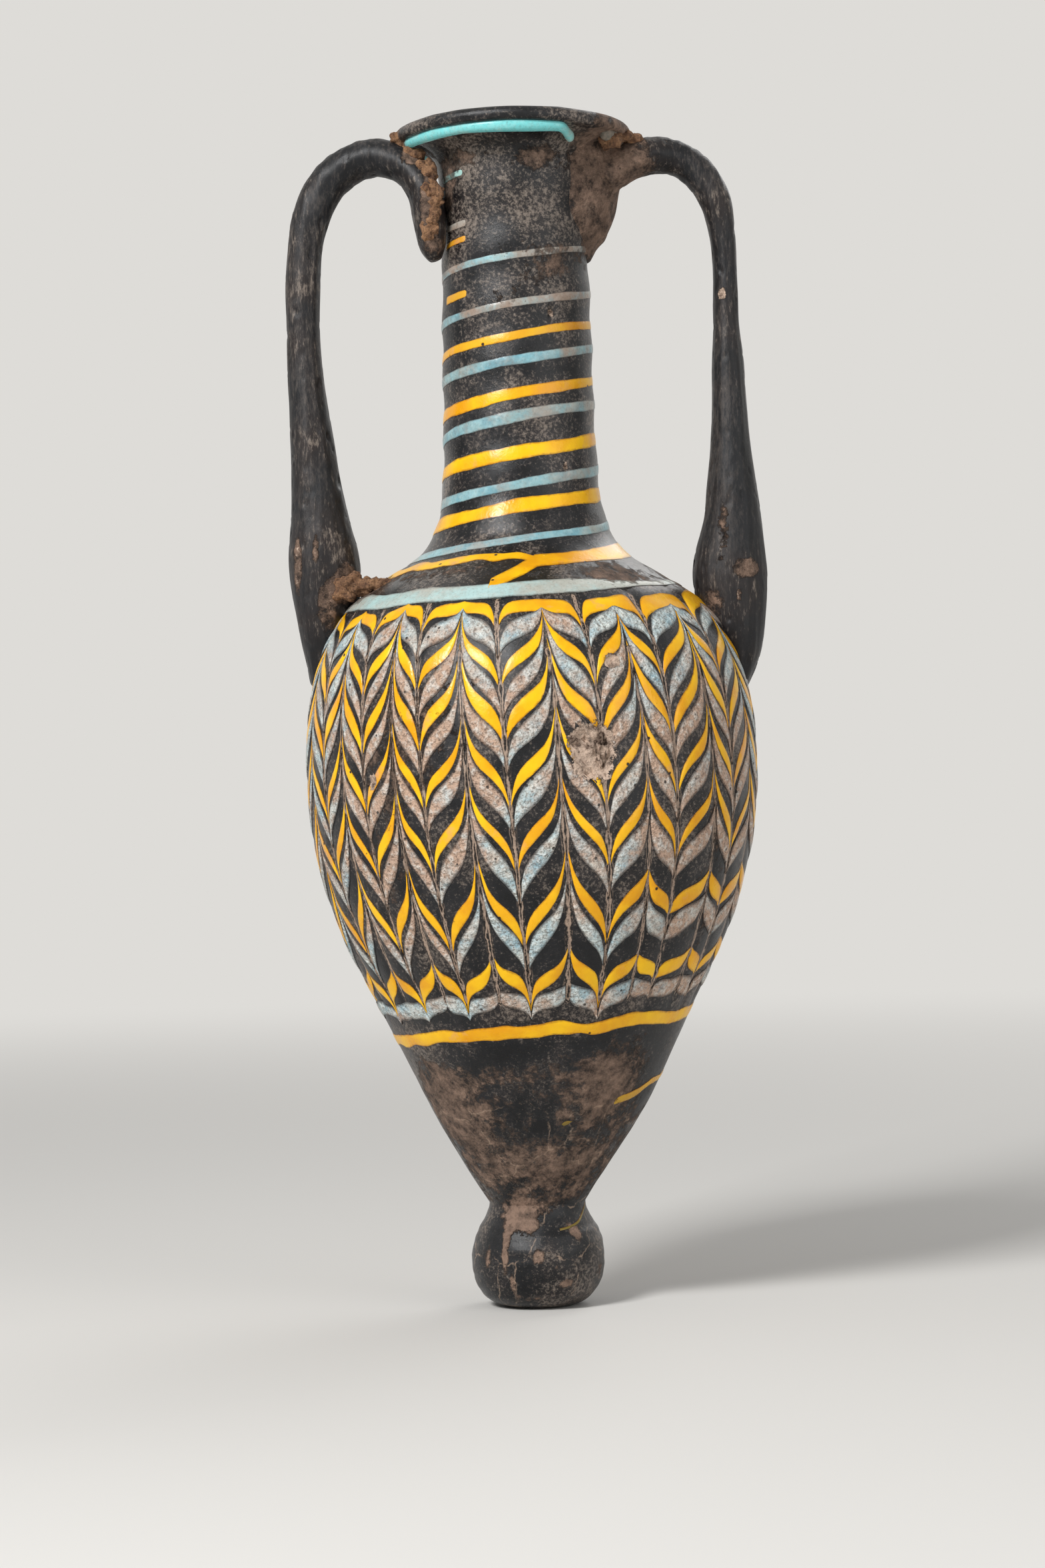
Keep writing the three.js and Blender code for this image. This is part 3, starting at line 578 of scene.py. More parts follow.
def spun(profile, columns):
    # Turns a profile of (radius, height) about the axis into a closed skin.
    shape = bmesh.new()
    points = [shape.verts.new((radius, 0, height)) for radius, height in profile]
    edges = [shape.edges.new(pair) for pair in zip(points, points[1:])]
    bmesh.ops.spin(shape, geom=points + edges, cent=(0, 0, 0), axis=(0, 0, 1), dvec=(0, 0, 0),
                   angle=2 * math.pi, steps=columns, use_merge=True, use_duplicate=False)
    bmesh.ops.remove_doubles(shape, verts=shape.verts, dist=1e-4)
    bmesh.ops.recalc_face_normals(shape, faces=shape.faces)
    return shape


def straightBar(section, steps):
    # A closed bar along X whose rings stand at whole numbers. It is then bent to its course.
    shape = bmesh.new()
    around = len(section)
    bmesh.ops.create_grid(shape, x_segments=steps, y_segments=around, size=0.5)
    for vert in shape.verts:
        across, lift = section[round((vert.co.y + 0.5) * around) % around]
        vert.co = (round((vert.co.x + 0.5) * steps), across, lift)
    bmesh.ops.remove_doubles(shape, verts=shape.verts, dist=1e-4)
    ends = [edge for edge in shape.edges if edge.is_boundary]
    bmesh.ops.holes_fill(shape, edges=ends, sides=0)
    bmesh.ops.recalc_face_normals(shape, faces=shape.faces)
    return shape


def arcTo(start, handleA, handleB, end, steps):
    points = []
    for step in range(1, steps + 1):
        t = step / steps
        weights = ((1 - t) ** 3, 3 * t * (1 - t) ** 2, 3 * t * t * (1 - t), t ** 3)
        points.append(tuple(sum(w * p[i] for w, p in zip(weights, (start, handleA, handleB, end))) for i in (0, 1)))
    return points


# The body: its outer columns follow the comb's strokes, and the hollow is lined with core residue

def makeBody():
    seat = vessel["seat"]
    steps = np.hypot(*np.diff(outline, axis=0).T)
    lengths = np.concatenate([[0], np.cumsum(steps)])
    rows = round(lengths[-1] / vessel["rowStep"])
    outer = [(0.0, seat)]
    for length in np.linspace(0, lengths[-1], rows + 1):
        height = float(np.interp(length, lengths, outline[:, 1]))
        outer.append((readTable(radiusTable, height)[0], height))
    floor = seat + vessel["floor"]
    inner = []
    for length in np.arange(lengths[-1], 0, -vessel["innerStep"]):
        height = float(np.interp(length, lengths, outline[:, 1]))
        radius, slope = readTable(radiusTable, height)
        steep = math.hypot(1, slope)
        point = (radius - vessel["wall"] / steep, height + vessel["wall"] * slope / steep)
        if point[1] > floor + 1:
            inner.append(point)
    shape = spun([*outer, *inner, (inner[-1][0] * 0.6, floor), (0.0, floor)],
                 comb["strokes"] * vessel["columnsPerStroke"])
    soil, bare, apart = addLayers(shape, "soil", "bare", "apart")
    for vert in shape.verts:
        radius = math.hypot(vert.co.x, vert.co.y)
        height = vert.co.z
        if radius < 0.01:
            vert[soil] = 1.0
            continue
        stroke = math.degrees(math.atan2(vert.co.x, -vert.co.y)) * comb["strokes"] / 360
        angle = strokeAngle(stroke, height)
        surface, _ = readTable(radiusTable, height)
        if radius < surface - 0.5:
            turn = math.radians(angle)
            shift, _ = readTable(axisTable, height)
            vert.co = (radius * math.sin(turn) + shift, -radius * math.cos(turn), height)
            vert[soil] = vert[bare] = 1.0
            vert[apart] = 9.0
            continue
        vert.co = onVessel(angle, height, 0.0, stroke)
        vert[soil] = soilAt(angle, height)
        vert[bare] = bareAt(angle, height)
        vert[apart] = fromStroke(stroke, surface) + 4 * (1 - combedZone(height, stroke))
    return addPiece("rolledBody", shape, bodyGlassLook, "dark_glass", "vessel_body")


makeBody()
print("body done")


# Threads: each is a flat ribbon of glass laid into the surface, made straight and then wound on

ribbon = {
    "section": [(-1, -0.3), (-1, 0.04), (-0.62, 0.075), (0, 0.09), (0.62, 0.075), (1, 0.04), (1, -0.3), (0, -0.34)],
    "ragged": 0.13,
    "raggedSize": 1.7,
}


def windThread(name, look, slot, node, places, swell=1.0, surface=onVessel):
    # Each place is (angle, height, half width, stroke number or None, how deep it is buried).
    shape = straightBar(ribbon["section"], len(places) - 1)
    soil, bare, apart, edge = addLayers(shape, "soil", "bare", "apart", "edge")
    for vert in shape.verts:
        angle, height, halfWidth, stroke, buried = places[round(vert.co.x)]
        across, lift = vert.co.y, vert.co.z
        radius, _ = readTable(radiusTable, height)
        turn = math.radians(angle)
        spot = Vector((radius * math.sin(turn), radius * math.cos(turn), height + 20 * across))
        height += across * (halfWidth + ribbon["ragged"] * min(1, halfWidth) * noise.noise(spot / ribbon["raggedSize"]))
        lift = lift * swell * min(1.0, halfWidth / 0.12) if lift > 0 else lift
        vert.co = surface(angle, height, lift - buried, stroke)
        vert[soil] = soilAt(angle, height)
        vert[bare] = bareAt(angle, height)
        vert[edge] = abs(across)
        vert[apart] = 9.0
        if stroke is not None:
            vert[apart] = fromStroke(stroke, radius) + 4 * (1 - combedZone(height, stroke))
    return addPiece(name, shape, look, slot, *([node] if node else []))


feathers = {
    # Where each thread passes the front: its turn number, height and width there.
    "yellow": [(0, 94.5, 0.9), (0.85, 88.4, 2.1), (1, 87.8, 1.5), (1.15, 87.0, 1.4), (2, 81.9, 1.8), (3, 75.8, 2.3),
               (4, 68.4, 1.8), (5, 60.6, 1.8), (6, 51.2, 2.1), (7, 42.5, 1.9), (8, 35.9, 1.6), (8.2, 34.6, 1.5),
               (8.6, 31.0, 0.7), (8.82, 28.6, 0.8), (8.86, 27.0, 1.0), (8.92, 25.2, 0.8), (9, 23.3, 0.7),
               (9.15, 21.6, 0.2)],
    "turquoise": [(0, 92.0, 0.4), (1, 85.2, 2.6), (2, 79.1, 2.7), (3, 72.7, 2.8), (4, 65.5, 3.0), (5, 57.2, 3.3),
                  (6, 48.1, 2.8), (7, 39.7, 2.2), (8, 33.0, 0.3)],
    "yellowTurns": (-0.047, 9.15),
    "turquoiseTurns": (0.62, 7.4),
    # Climbs from one stroke to the next at which a thread has a ring of points.
    "climbs": [0.0, 0.012, 0.03, 0.055, 0.085, 0.125, 0.18, 0.26, 0.37, 0.5, 0.63, 0.74, 0.82, 0.875, 0.915,
               0.945, 0.97, 0.988],
    "spineShare": 0.08,  # width left of a thread where a stroke has drawn it out
    "tailShare": 0.07,
    "startDip": 0.8,
    "swell": 1.8,  # the crusted turquoise stands a little proud
    "unequal": 0.35,
    "fadeFrom": 8.86,  # past here the last turn is covered, and shows again in one faint trace
    "coverDepth": 0.16,
    "traceAngle": 15.0,
    "traceHalf": 10.0,
}


def combedThread(name, turns):
    numbers, levels, widths = zip(*feathers[name])
    begin, end = (turn * comb["strokes"] for turn in turns)
    places = []
    for count in range(math.floor(begin), math.ceil(end)):
        for climb in feathers["climbs"]:
            passed = count + climb
            if not begin <= passed <= end:
                continue
            turn = passed / comb["strokes"]
            stroke = -passed
            level = float(np.interp(turn, numbers, levels))
            width = float(np.interp(turn, numbers, widths))
            width *= 1 + feathers["unequal"] * noise.noise((passed / 0.9, widths[0], 0.0))
            height = level + combedBy(stroke, level) - feathers["startDip"] * smooth(-passed, 0, 1.6)
            near = min(climb, 1 - climb)
            combed = min(1.0, abs(combedBy(round(stroke), level)) / 2)
            share = feathers["spineShare"]
            leaf = share + (1 - share) * (1 - math.exp(-near / feathers["tailShare"]))
            angle = strokeAngle(stroke, height)
            spin = math.radians(angle)
            height += comb["unrest"] * noise.noise((4 * math.sin(spin), 4 * math.cos(spin), height / 7))
            hidden = smooth(turn, feathers["fadeFrom"], feathers["fadeFrom"] + 0.05)
            trace = turnedBy(angle, feathers["traceAngle"]) / feathers["traceHalf"]
            cover = 1 - 0.5 * math.exp(-trace * trace) + 0.3 * noise.noise((angle / 4, 3.5, 0.0))
            buried = hidden * feathers["coverDepth"] * max(0.0, cover)
            places.append((angle, height, width / 2 * (1 - combed + combed * leaf), stroke, buried))
    return places


windThread("featherThreadYellow", yellowLook, "yellow_glass", "belly_trail_yellow",
           combedThread("yellow", feathers["yellowTurns"]))
windThread("featherThreadTurquoise", pittedTurquoiseLook, "turquoise_glass", "belly_trail_turquoise",
           combedThread("turquoise", feathers["turquoiseTurns"]), swell=feathers["swell"])
print("feathers done")

neckThreads = {
    "stepsPerTurn": 120,
    "tilt": 0.36,
    "wave": 0.2,
    "yellow": {
        "rows": [(93.5, 1.55), (100.9, 1.7), (107.6, 1.85), (115.0, 1.4), (122.4, 1.15), (128.9, 0.9), (135.9, 0.8)],
        "turns": (-0.034, 5.9), "hiddenFrom": 4.38, "forkDrop": 2.4,
    },
    "turquoise": {
        "rows": [(96.7, 1.05), (103.6, 1.2), (112.2, 1.3), (119.2, 1.2), (126.3, 1.05), (132.2, 0.95),
                 (137.6, 0.8), (144.0, 0.8)],
        "turns": (-0.27, 6.9), "hiddenFrom": 5.3, "forkDrop": 0.0,
    },
    "forkTurns": 0.05,
    "windowAngle": -56.0,  # the upper turns only show through the soil beside the left handle
    "windowHalf": 15.0,
    "hiddenDepth": 0.3,
}


def neckPlaces(thread):
    first, last = thread["turns"]
    steps = round((last - first) * neckThreads["stepsPerTurn"])
    levels, widths = zip(*thread["rows"])
    numbers = range(len(levels))
    places = []
    for step in range(steps + 1):
        turn = first + (last - first) * step / steps
        angle = 360 * turn
        height = float(np.interp(turn, numbers, levels)) + min(0.0, turn) * (levels[1] - levels[0])
        height += neckThreads["tilt"] * math.sin(math.radians(angle))
        height += neckThreads["wave"] * noise.noise((angle / 40, 0.5, levels[0]))
        height -= thread["forkDrop"] * max(0.0, 1 - (turn - first) / neckThreads["forkTurns"])
        width = float(np.interp(turn, numbers, widths)) * (1 + 0.3 * noise.noise((angle / 28, 7.5, levels[0])))
        aside = turnedBy(angle, neckThreads["windowAngle"]) / neckThreads["windowHalf"]
        hidden = smooth(turn, thread["hiddenFrom"], thread["hiddenFrom"] + 0.06) * smooth(abs(aside), 0.8, 1.2)
        places.append((angle, height, width / 2, None, neckThreads["hiddenDepth"] * hidden))
    return places


windThread("neckThreadYellow", yellowLook, "yellow_glass", "neck_trail_yellow", neckPlaces(neckThreads["yellow"]))
windThread("neckThreadTurquoise", smoothTurquoiseLook, "turquoise_glass", "neck_trail_turquoise",
           neckPlaces(neckThreads["turquoise"]))

shoulderBand = {"height": 90.0, "rise": 5.0, "turns": 0.66, "width": 1.9, "steps": 240, "wave": 0.4}


def bandPlaces():
    places = []
    for step in range(shoulderBand["steps"] + 1):
        share = step / shoulderBand["steps"]
        turn = (share - 0.5) * shoulderBand["turns"]
        angle = 360 * turn
        height = shoulderBand["height"] + shoulderBand["rise"] * turn
        height += shoulderBand["wave"] * noise.noise((angle / 22, 2.5, 0.0))
        width = shoulderBand["width"] * min(1.0, 10 * share + 0.1) * (1 - 0.7 * smooth(angle, 10, 50))
        places.append((angle, height, width / 2 * min(1.0, 10 * (1 - share) + 0.1), None, 0.0))
    return places


windThread("shoulderBand", smoothTurquoiseLook, "turquoise_glass", "shoulder_band_turquoise", bandPlaces())
print("neck and shoulder threads done")


# Base knob: a ball pressed on and ground flat underneath, with the end of a yellow thread on it

knob = {
    "restRadius": 3.4, "radius": 8.45, "widest": 6.2, "waist": 6.1, "columns": 144, "lumps": 0.16, "shift": 0.1,
    "lines": 0.09, "lineApart": 0.75,
    "thread": [(80.0, 13.0), (64.0, 11.9), (47.0, 10.9), (33.0, 10.4), (22.0, 10.2)],
    "threadWidth": 0.26,
}
knobSide = [(knob["restRadius"], 0.0)]
knobSide += arcTo(knobSide[0], (knob["radius"] * 0.85, 0.0), (knob["radius"], knob["widest"] / 2),
                  (knob["radius"], knob["widest"]), 30)
knobSide += arcTo(knobSide[-1], (knob["radius"], knob["widest"] + (vessel["seat"] - knob["widest"]) * 0.55),
                  (knob["waist"], vessel["seat"] - (vessel["seat"] - knob["widest"]) * 0.35),
                  (knob["waist"], vessel["seat"]), 34)


def onKnob(angle, height, lift=0.0, stroke=None):
    radii, heights = zip(*knobSide)
    radius = float(np.interp(height, heights, radii))
    turn = math.radians(angle)
    out = Vector((math.sin(turn), -math.cos(turn), 0))
    spot = out * radius + Vector((0, 0, height))
    lump = noise.noise(spot / 5) * 1.6 + noise.noise(spot / 1.4) * 0.3
    lump *= knob["lumps"]
    lump += knob["lines"] * noise.noise((angle / 90, 6.5, height / knob["lineApart"]))
    lump *= smooth(vessel["seat"] - height, 0, 2) * smooth(height, 0, 0.6)
    return spot + out * (lump + lift) + Vector((knob["shift"], 0, 0))


def makeKnob():
    seat = vessel["seat"]
    shape = spun([(0.0, 0.0), (knob["restRadius"] * 0.5, 0.0), *knobSide, (0.0, seat)], knob["columns"])
    soil, apart = addLayers(shape, "soil", "apart")
    for vert in shape.verts:
        angle = math.degrees(math.atan2(vert.co.x, -vert.co.y))
        height = vert.co.z
        vert[soil] = soilAt(angle, height)
        vert[apart] = 9.0
        radius = math.hypot(vert.co.x, vert.co.y)
        if radius > knob["restRadius"] - 0.01:
            vert.co = onKnob(angle, height)
    return addPiece("baseKnob", shape, bodyGlassLook, "dark_glass", "base_knob")


makeKnob()
windThread("knobThread", yellowLook, "yellow_glass", None,
           [(angle, height, knob["threadWidth"] / 2 * min(1, 0.2 + index / 6), None, 0.0)
            for index, (angle, height) in enumerate(curveThrough(knob["thread"], 8))], surface=onKnob)
print("knob done")


# Mouth: a coil tooled out to a disc that droops towards the handles

mouth = {
    "radius": 14.9, "height": 5.3, "lip": 1.7, "lipWidth": 3.2, "rounding": 0.3, "dish": 0.6,
    "throat": 1.6, "droop": 0.7, "wave": 0.2, "columns": 180,
    "threadRadius": 0.85, "threadReach": 14.2, "threadBelowTop": 2.15, "threadFrom": 40.0, "threadTo": -302.0,
    "threadSteps": 260, "curl": 1.0, "curlFrom": 25.0, "thinnest": 0.2,
}
mouthTop = neckTop + mouth["height"]
mouthUnder = [(neckTopRadius, neckTop - 0.02)]
mouthUnder += arcTo(mouthUnder[0], (neckTopRadius + 0.35, neckTop + 1.3),
                    (mouth["radius"] - mouth["lipWidth"] + 0.3, mouthTop - mouth["lip"] - mouth["dish"]),
                    (mouth["radius"] - mouth["rounding"], mouthTop - mouth["lip"]), 18)


def drooped(point):
    radius = math.hypot(point.x, point.y)
    reach = max(0.0, radius - neckTopRadius) / (mouth["radius"] - neckTopRadius)
    side = (point.x / radius) ** 2 if radius > 0 else 0
    wave = abs(mouth["wave"] * noise.noise((point.x / 8, point.y / 8, 4.0)))
    return Vector((point.x, point.y, point.z - reach * (mouth["droop"] * side + wave)))


def mouthSoil(angle):
    # The rim is caked where each handle joins it.
    return max(smooth(abs(turnedBy(angle, 80)), 48, 26), smooth(abs(turnedBy(angle, -90)), 24, 12))


def makeMouth():
    bore = neckTopRadius - vessel["wall"]
    edge, lip, rounding = mouth["radius"], mouth["lip"], mouth["rounding"]
    side = arcTo(mouthUnder[-1], (edge + rounding, mouthTop - lip + rounding), (edge + rounding, mouthTop),
                 (edge - 3 * rounding, mouthTop), 10)
    dish = arcTo(side[-1], (edge - mouth["lipWidth"], mouthTop), (bore + 3, mouthTop - mouth["dish"]),
                 (bore + 1, mouthTop - 2 * mouth["dish"]), 10)
    foot = (bore, mouthUnder[0][1])
    throat = (bore, mouthTop - mouth["dish"] - mouth["throat"])
    shape = spun([foot, *mouthUnder, *side, *dish, throat, foot], mouth["columns"])
    soil, apart = addLayers(shape, "soil", "apart")
    for vert in shape.verts:
        angle = math.degrees(math.atan2(vert.co.x, -vert.co.y))
        inside = smooth(math.hypot(vert.co.x, vert.co.y), bore + 3, bore)
        upper = smooth(vert.co.z, neckTop, neckTop + 2)
        vert[soil] = soilAt(angle, neckTop) * (1 - 0.7 * upper) + 0.7 * inside + upper * (0.1 + 0.7 * mouthSoil(angle))
        vert[apart] = 9.0
        uneven = 0.05 * noise.noise(vert.co / 1.3) * smooth(mouthTop - vert.co.z, 0, 1)
        vert.co = drooped(vert.co) - uneven * Vector((vert.co.x, vert.co.y, 0)).normalized()
    return addPiece("mouthDisc", shape, bodyGlassLook, "dark_glass", "mouth_disc")


def makeMouthThread():
    # A round thread half sunk under the lip. Its near end curls down over the flare.
    steps = mouth["threadSteps"]
    section = [(math.cos(math.radians(turn)), math.sin(math.radians(turn))) for turn in range(0, 360, 30)]
    shape = straightBar(section, steps)
    soil, apart = addLayers(shape, "soil", "apart")
    radii, heights = zip(*mouthUnder)
    for vert in shape.verts:
        share = vert.co.x / steps
        angle = mouth["threadFrom"] + (mouth["threadTo"] - mouth["threadFrom"]) * share
        size = mouth["threadRadius"] * (1 + 0.2 * noise.noise((angle / 25, 1.5, 0.0)))
        fromEnd = min(share, 1 - share) * math.radians(mouth["threadFrom"] - mouth["threadTo"]) * mouth["threadReach"]
        blunt = 1 - min(1.0, fromEnd / size)
        size *= max(mouth["thinnest"], math.sqrt(1 - blunt * blunt))
        curled = mouth["curl"] * smooth(angle, mouth["curlFrom"], mouth["threadFrom"])
        middle = mouthTop - mouth["threadBelowTop"] - curled
        reach = min(mouth["threadReach"], float(np.interp(middle, heights, radii)) + 0.25)
        turn = math.radians(angle)
        radius = reach + vert.co.y * size
        vert.co = drooped(Vector((radius * math.sin(turn), -radius * math.cos(turn), middle + vert.co.z * size)))
        vert[soil] = min(1.0, 0.1 + 0.9 * mouthSoil(angle))
        vert[apart] = 9.0
    return addPiece("mouthThread", shape, smoothTurquoiseLook, "turquoise_glass", "mouth_trail_turquoise")


makeMouth()
makeMouthThread()
print("mouth done")


# Handles: drawn rods with a broad lower pad. Stations are x, y, z, half thickness, half width.

leftHandle = [
    (-10.0, -4.2, 132.3, 0.9, 1.3), (-10.35, -4.3, 134.4, 1.75, 2.4), (-10.65, -4.2, 137.6, 2.15, 2.9),
    (-11.2, -3.9, 141.0, 2.2, 3.1), (-12.95, -2.9, 144.0, 2.25, 3.0), (-15.6, -1.8, 145.6, 2.4, 2.8),
    (-18.5, -0.9, 145.95, 2.5, 2.7), (-21.35, -0.3, 144.9, 2.5, 2.6), (-23.7, 0.0, 142.85, 2.6, 2.5),
    (-25.6, 0.0, 139.3, 2.5, 2.45), (-26.7, 0.0, 134.4, 2.35, 2.4), (-27.1, 0.0, 128.6, 2.25, 2.4),
    (-27.1, 0.0, 122.4, 2.25, 2.5), (-26.75, 0.0, 115.4, 2.5, 2.8), (-26.15, 0.0, 108.0, 3.0, 3.3),
    (-25.65, 0.0, 101.4, 3.6, 3.9), (-25.2, 0.0, 95.5, 4.6, 4.5), (-25.0, 0.0, 90.2, 4.3, 4.5),
    (-25.5, 0.0, 84.5, 2.8, 4.1), (-25.9, 0.0, 79.0, 1.3, 3.0),
]
rightHandle = [
    (11.0, -2.2, 142.6, 2.6, 3.0), (14.6, -1.5, 144.7, 2.5, 2.9), (18.2, -0.6, 145.6, 2.5, 2.6),
    (21.25, 0.0, 144.95, 2.3, 2.4), (24.0, 0.0, 142.75, 2.2, 2.2), (25.65, 0.0, 139.5, 2.0, 2.1),
    (26.35, 0.0, 135.6, 1.75, 2.0), (26.6, 0.0, 130.6, 1.6, 2.0), (26.65, 0.0, 125.2, 1.75, 2.15),
    (26.75, 0.0, 118.8, 2.1, 2.5), (26.8, 0.0, 112.0, 2.4, 2.9), (26.9, 0.0, 105.2, 3.05, 3.4),
    (26.9, 0.0, 99.0, 3.8, 4.0), (26.45, 0.0, 92.8, 4.85, 4.6), (26.75, 0.0, 87.6, 4.3, 4.7),
    (27.15, 0.0, 82.4, 3.0, 4.3), (27.1, 0.0, 77.8, 1.2, 3.1),
]
# The right handle's upper end is spread over the neck: height, how far right it reaches, half its spread.
rightWeb = [(132.2, 9.5, 12.0), (133.8, 10.4, 20.0), (135.2, 11.7, 29.0), (136.6, 12.4, 37.0), (138.4, 13.0, 43.0),
            (141.4, 13.5, 46.0), (144.6, 13.9, 46.0), (147.4, 14.1, 44.0)]
handleMaking = {
    "sides": 28, "stepsEach": 6, "voxel": 0.38, "webVoxel": 0.32, "depthInGlass": 1.1, "grooves": 0.12,
    "lumps": 0.12, "pits": 0.1, "webRows": 44, "webAcross": 36, "webMiddle": 91.0,
}
# Soil and scars on the handles: centre, half sizes, soil, bare.
handleStains = [
    ((-10.4, -6.5, 139.5), (1.4, 3.0, 5.0), 0.9, 0.0),
    ((-12.2, -3.5, 145.2), (2.6, 3.0, 1.8), 0.9, 0.0),
    ((-10.0, -6.0, 134.0), (2.0, 3.0, 1.5), 0.45, 0.0),
    ((-28.4, -3.4, 94.6), (0.7, 2.5, 4.6), 0.75, 0.42),
    ((-26.0, -5.0, 96.6), (0.55, 2.0, 2.6), 0.7, 0.4),
    ((-24.6, -4.6, 89.0), (1.6, 2.0, 4.5), 0.6, 0.0),
    ((-22.0, -4.0, 92.0), (2.2, 3.0, 3.0), 0.8, 0.0),
    ((12.0, -4.0, 140.0), (6.5, 9.0, 13.0), 0.85, 0.0),
    ((28.2, -3.6, 92.8), (1.9, 3.0, 1.4), 0.85, 0.35),
    ((27.3, -4.5, 89.6), (0.5, 2.0, 1.1), 0.5, 0.4),
    ((25.4, -4.4, 98.0), (1.0, 2.0, 5.0), 0.5, 0.0),
    ((26.1, -1.9, 127.7), (0.7, 1.5, 0.9), 0.6, 0.75),
    ((24.0, -3.8, 88.0), (1.6, 3.0, 3.0), 0.5, 0.0),
]


def bentRod(stations):
    rings = curveThrough(stations, handleMaking["stepsEach"])
    turns = [2 * math.pi * side / handleMaking["sides"] for side in range(handleMaking["sides"])]
    shape = straightBar([(math.cos(turn), math.sin(turn)) for turn in turns], len(rings) - 1)
    for vert in shape.verts:
        index = round(vert.co.x)
        ahead = rings[min(index + 1, len(rings) - 1)] - rings[max(index - 1, 0)]
        along = Vector(ahead[:3]).normalized()
        across = (Vector((0, 1, 0)) - along * along.y).normalized()
        outwards = across.cross(along)
        thickness, width = rings[index][3:]
        vert.co = Vector(rings[index][:3]) + outwards * thickness * vert.co.y + across * width * vert.co.z
    return shape


def spreadWeb():
    # A lobe that lies on the neck, thick over the handle's side and thinned out to nothing at its rim.
    across = handleMaking["webAcross"]
    shares = [-1 + 2 * step / across for step in range(across + 1)]
    section = [(share, 1) for share in shares] + [(share, 0) for share in reversed(shares)]
    shape = straightBar(section, handleMaking["webRows"])
    heights, reaches, spreads = zip(*rightWeb)
    for vert in shape.verts:
        share, outer = vert.co.y, vert.co.z
        height = heights[0] + (heights[-1] - heights[0]) * vert.co.x / handleMaking["webRows"]
        neck = min(readTable(radiusTable, height)[0], neckTopRadius)
        thickness = float(np.interp(height, heights, reaches)) - neck
        thickness *= (1 - abs(share) ** 1.7) ** 1.5
        turn = math.radians(handleMaking["webMiddle"] + share * float(np.interp(height, heights, spreads)))
        radius = neck + thickness if outer else neck - 0.7
        vert.co = (radius * math.sin(turn), -radius * math.cos(turn), height)
    return shape


def remeshed(piece, voxel):
    modifier = piece.modifiers.new("one skin", "REMESH")
    modifier.mode = "VOXEL"
    modifier.voxel_size = voxel * mm
    modifier.use_smooth_shade = True
    evaluated = piece.evaluated_get(bpy.context.evaluated_depsgraph_get())
    mesh = bpy.data.meshes.new_from_object(evaluated)
    mesh.name = piece.name
    piece.modifiers.clear()
    piece.data = mesh


def makeHandle(name, node, voxel, *parts):
    whole = bmesh.new()
    for part in parts:
        mesh = bpy.data.meshes.new("part")
        part.to_mesh(mesh)
        part.free()
        whole.from_mesh(mesh)
        bpy.data.meshes.remove(mesh)
    piece = addPiece(name, whole, rodGlassLook, "dark_glass", node)
    remeshed(piece, voxel)
    shape = bmesh.new()
    shape.from_mesh(piece.data)
    for _ in range(3):
        bmesh.ops.smooth_vert(shape, verts=shape.verts, factor=0.5, use_axis_x=True, use_axis_y=True, use_axis_z=True)
    soil, bare, apart = addLayers(shape, "soil", "bare", "apart")
    shape.normal_update()
    for vert in shape.verts:
        spot = vert.co / mm
        groove = noise.noise((spot.x * 1.1, spot.y * 1.1, spot.z * 0.06))
        pit = max(0.0, noise.noise((spot.x * 1.2, spot.y * 1.2, spot.z * 0.7 + 5)) - 0.35)
        lump = noise.noise(spot / 5.5)
        spot += vert.normal * (handleMaking["grooves"] * groove + handleMaking["lumps"] * (lump - 0.5)
                               - handleMaking["pits"] * 6 * pit)
        if spot.z < neckTop:
            shift, _ = readTable(axisTable, spot.z)
            radius = math.hypot(spot.x - shift, spot.y)
            least = readTable(radiusTable, spot.z)[0] - handleMaking["depthInGlass"]
            if radius < least:
                spot.x = shift + (spot.x - shift) * least / radius
                spot.y *= least / radius
        vert.co = spot * mm
        vert[soil] = 0.16
        for centre, halfSizes, soilShare, bareShare in handleStains:
            reach = math.sqrt(sum(((a - b) / c) ** 2 for a, b, c in zip(spot, centre, halfSizes)))
            vert[soil] = min(1.0, vert[soil] + soilShare * (1 - smooth(reach, 0.5, 1.4)))
            vert[bare] = max(vert[bare], bareShare * (1 - smooth(reach, 0.5, 1.3)))
        vert[apart] = 9.0
    shape.to_mesh(piece.data)
    shape.free()
    return piece


makeHandle("handleLeftRod", "handle_left", handleMaking["voxel"], bentRod(leftHandle))
makeHandle("handleRightRod", "handle_right", handleMaking["webVoxel"], bentRod(rightHandle), spreadWeb())
print("handles done")


# Clots of soil where the handles join: centre, half sizes
soilClots = {
    "soilLeftShoulder": [
        ((-19.6, -4.6, 91.3), (3.0, 1.6, 0.8)), ((-22.0, -4.6, 91.4), (2.0, 1.3, 1.9)),
        ((-17.4, -6.2, 91.7), (2.2, 1.3, 0.5)), ((-20.8, -2.6, 91.8), (2.2, 1.8, 0.9)),
    ],
    "soilLeftTab": [
        ((-10.9, -5.4, 143.2), (1.3, 1.0, 2.2)), ((-10.2, -6.3, 139.6), (1.2, 0.8, 3.0)),
        ((-10.6, -6.3, 136.4), (0.9, 0.6, 1.8)), ((-12.7, -4.0, 145.6), (1.8, 1.0, 0.9)),
        ((-14.1, -2.6, 147.8), (1.5, 1.5, 0.9)),
    ],
    "soilRightRim": [
        ((13.2, -3.4, 147.4), (1.6, 1.8, 0.8)), ((15.2, -1.6, 147.3), (1.6, 1.6, 0.6)),
        ((12.4, -5.4, 146.7), (1.2, 1.1, 1.0)),
    ],
}
soilMaking = {"crumbs": 26, "crumbFrom": 0.3, "crumbTo": 0.75, "voxel": 0.19, "roughness": 0.22, "grainSize": 0.4}


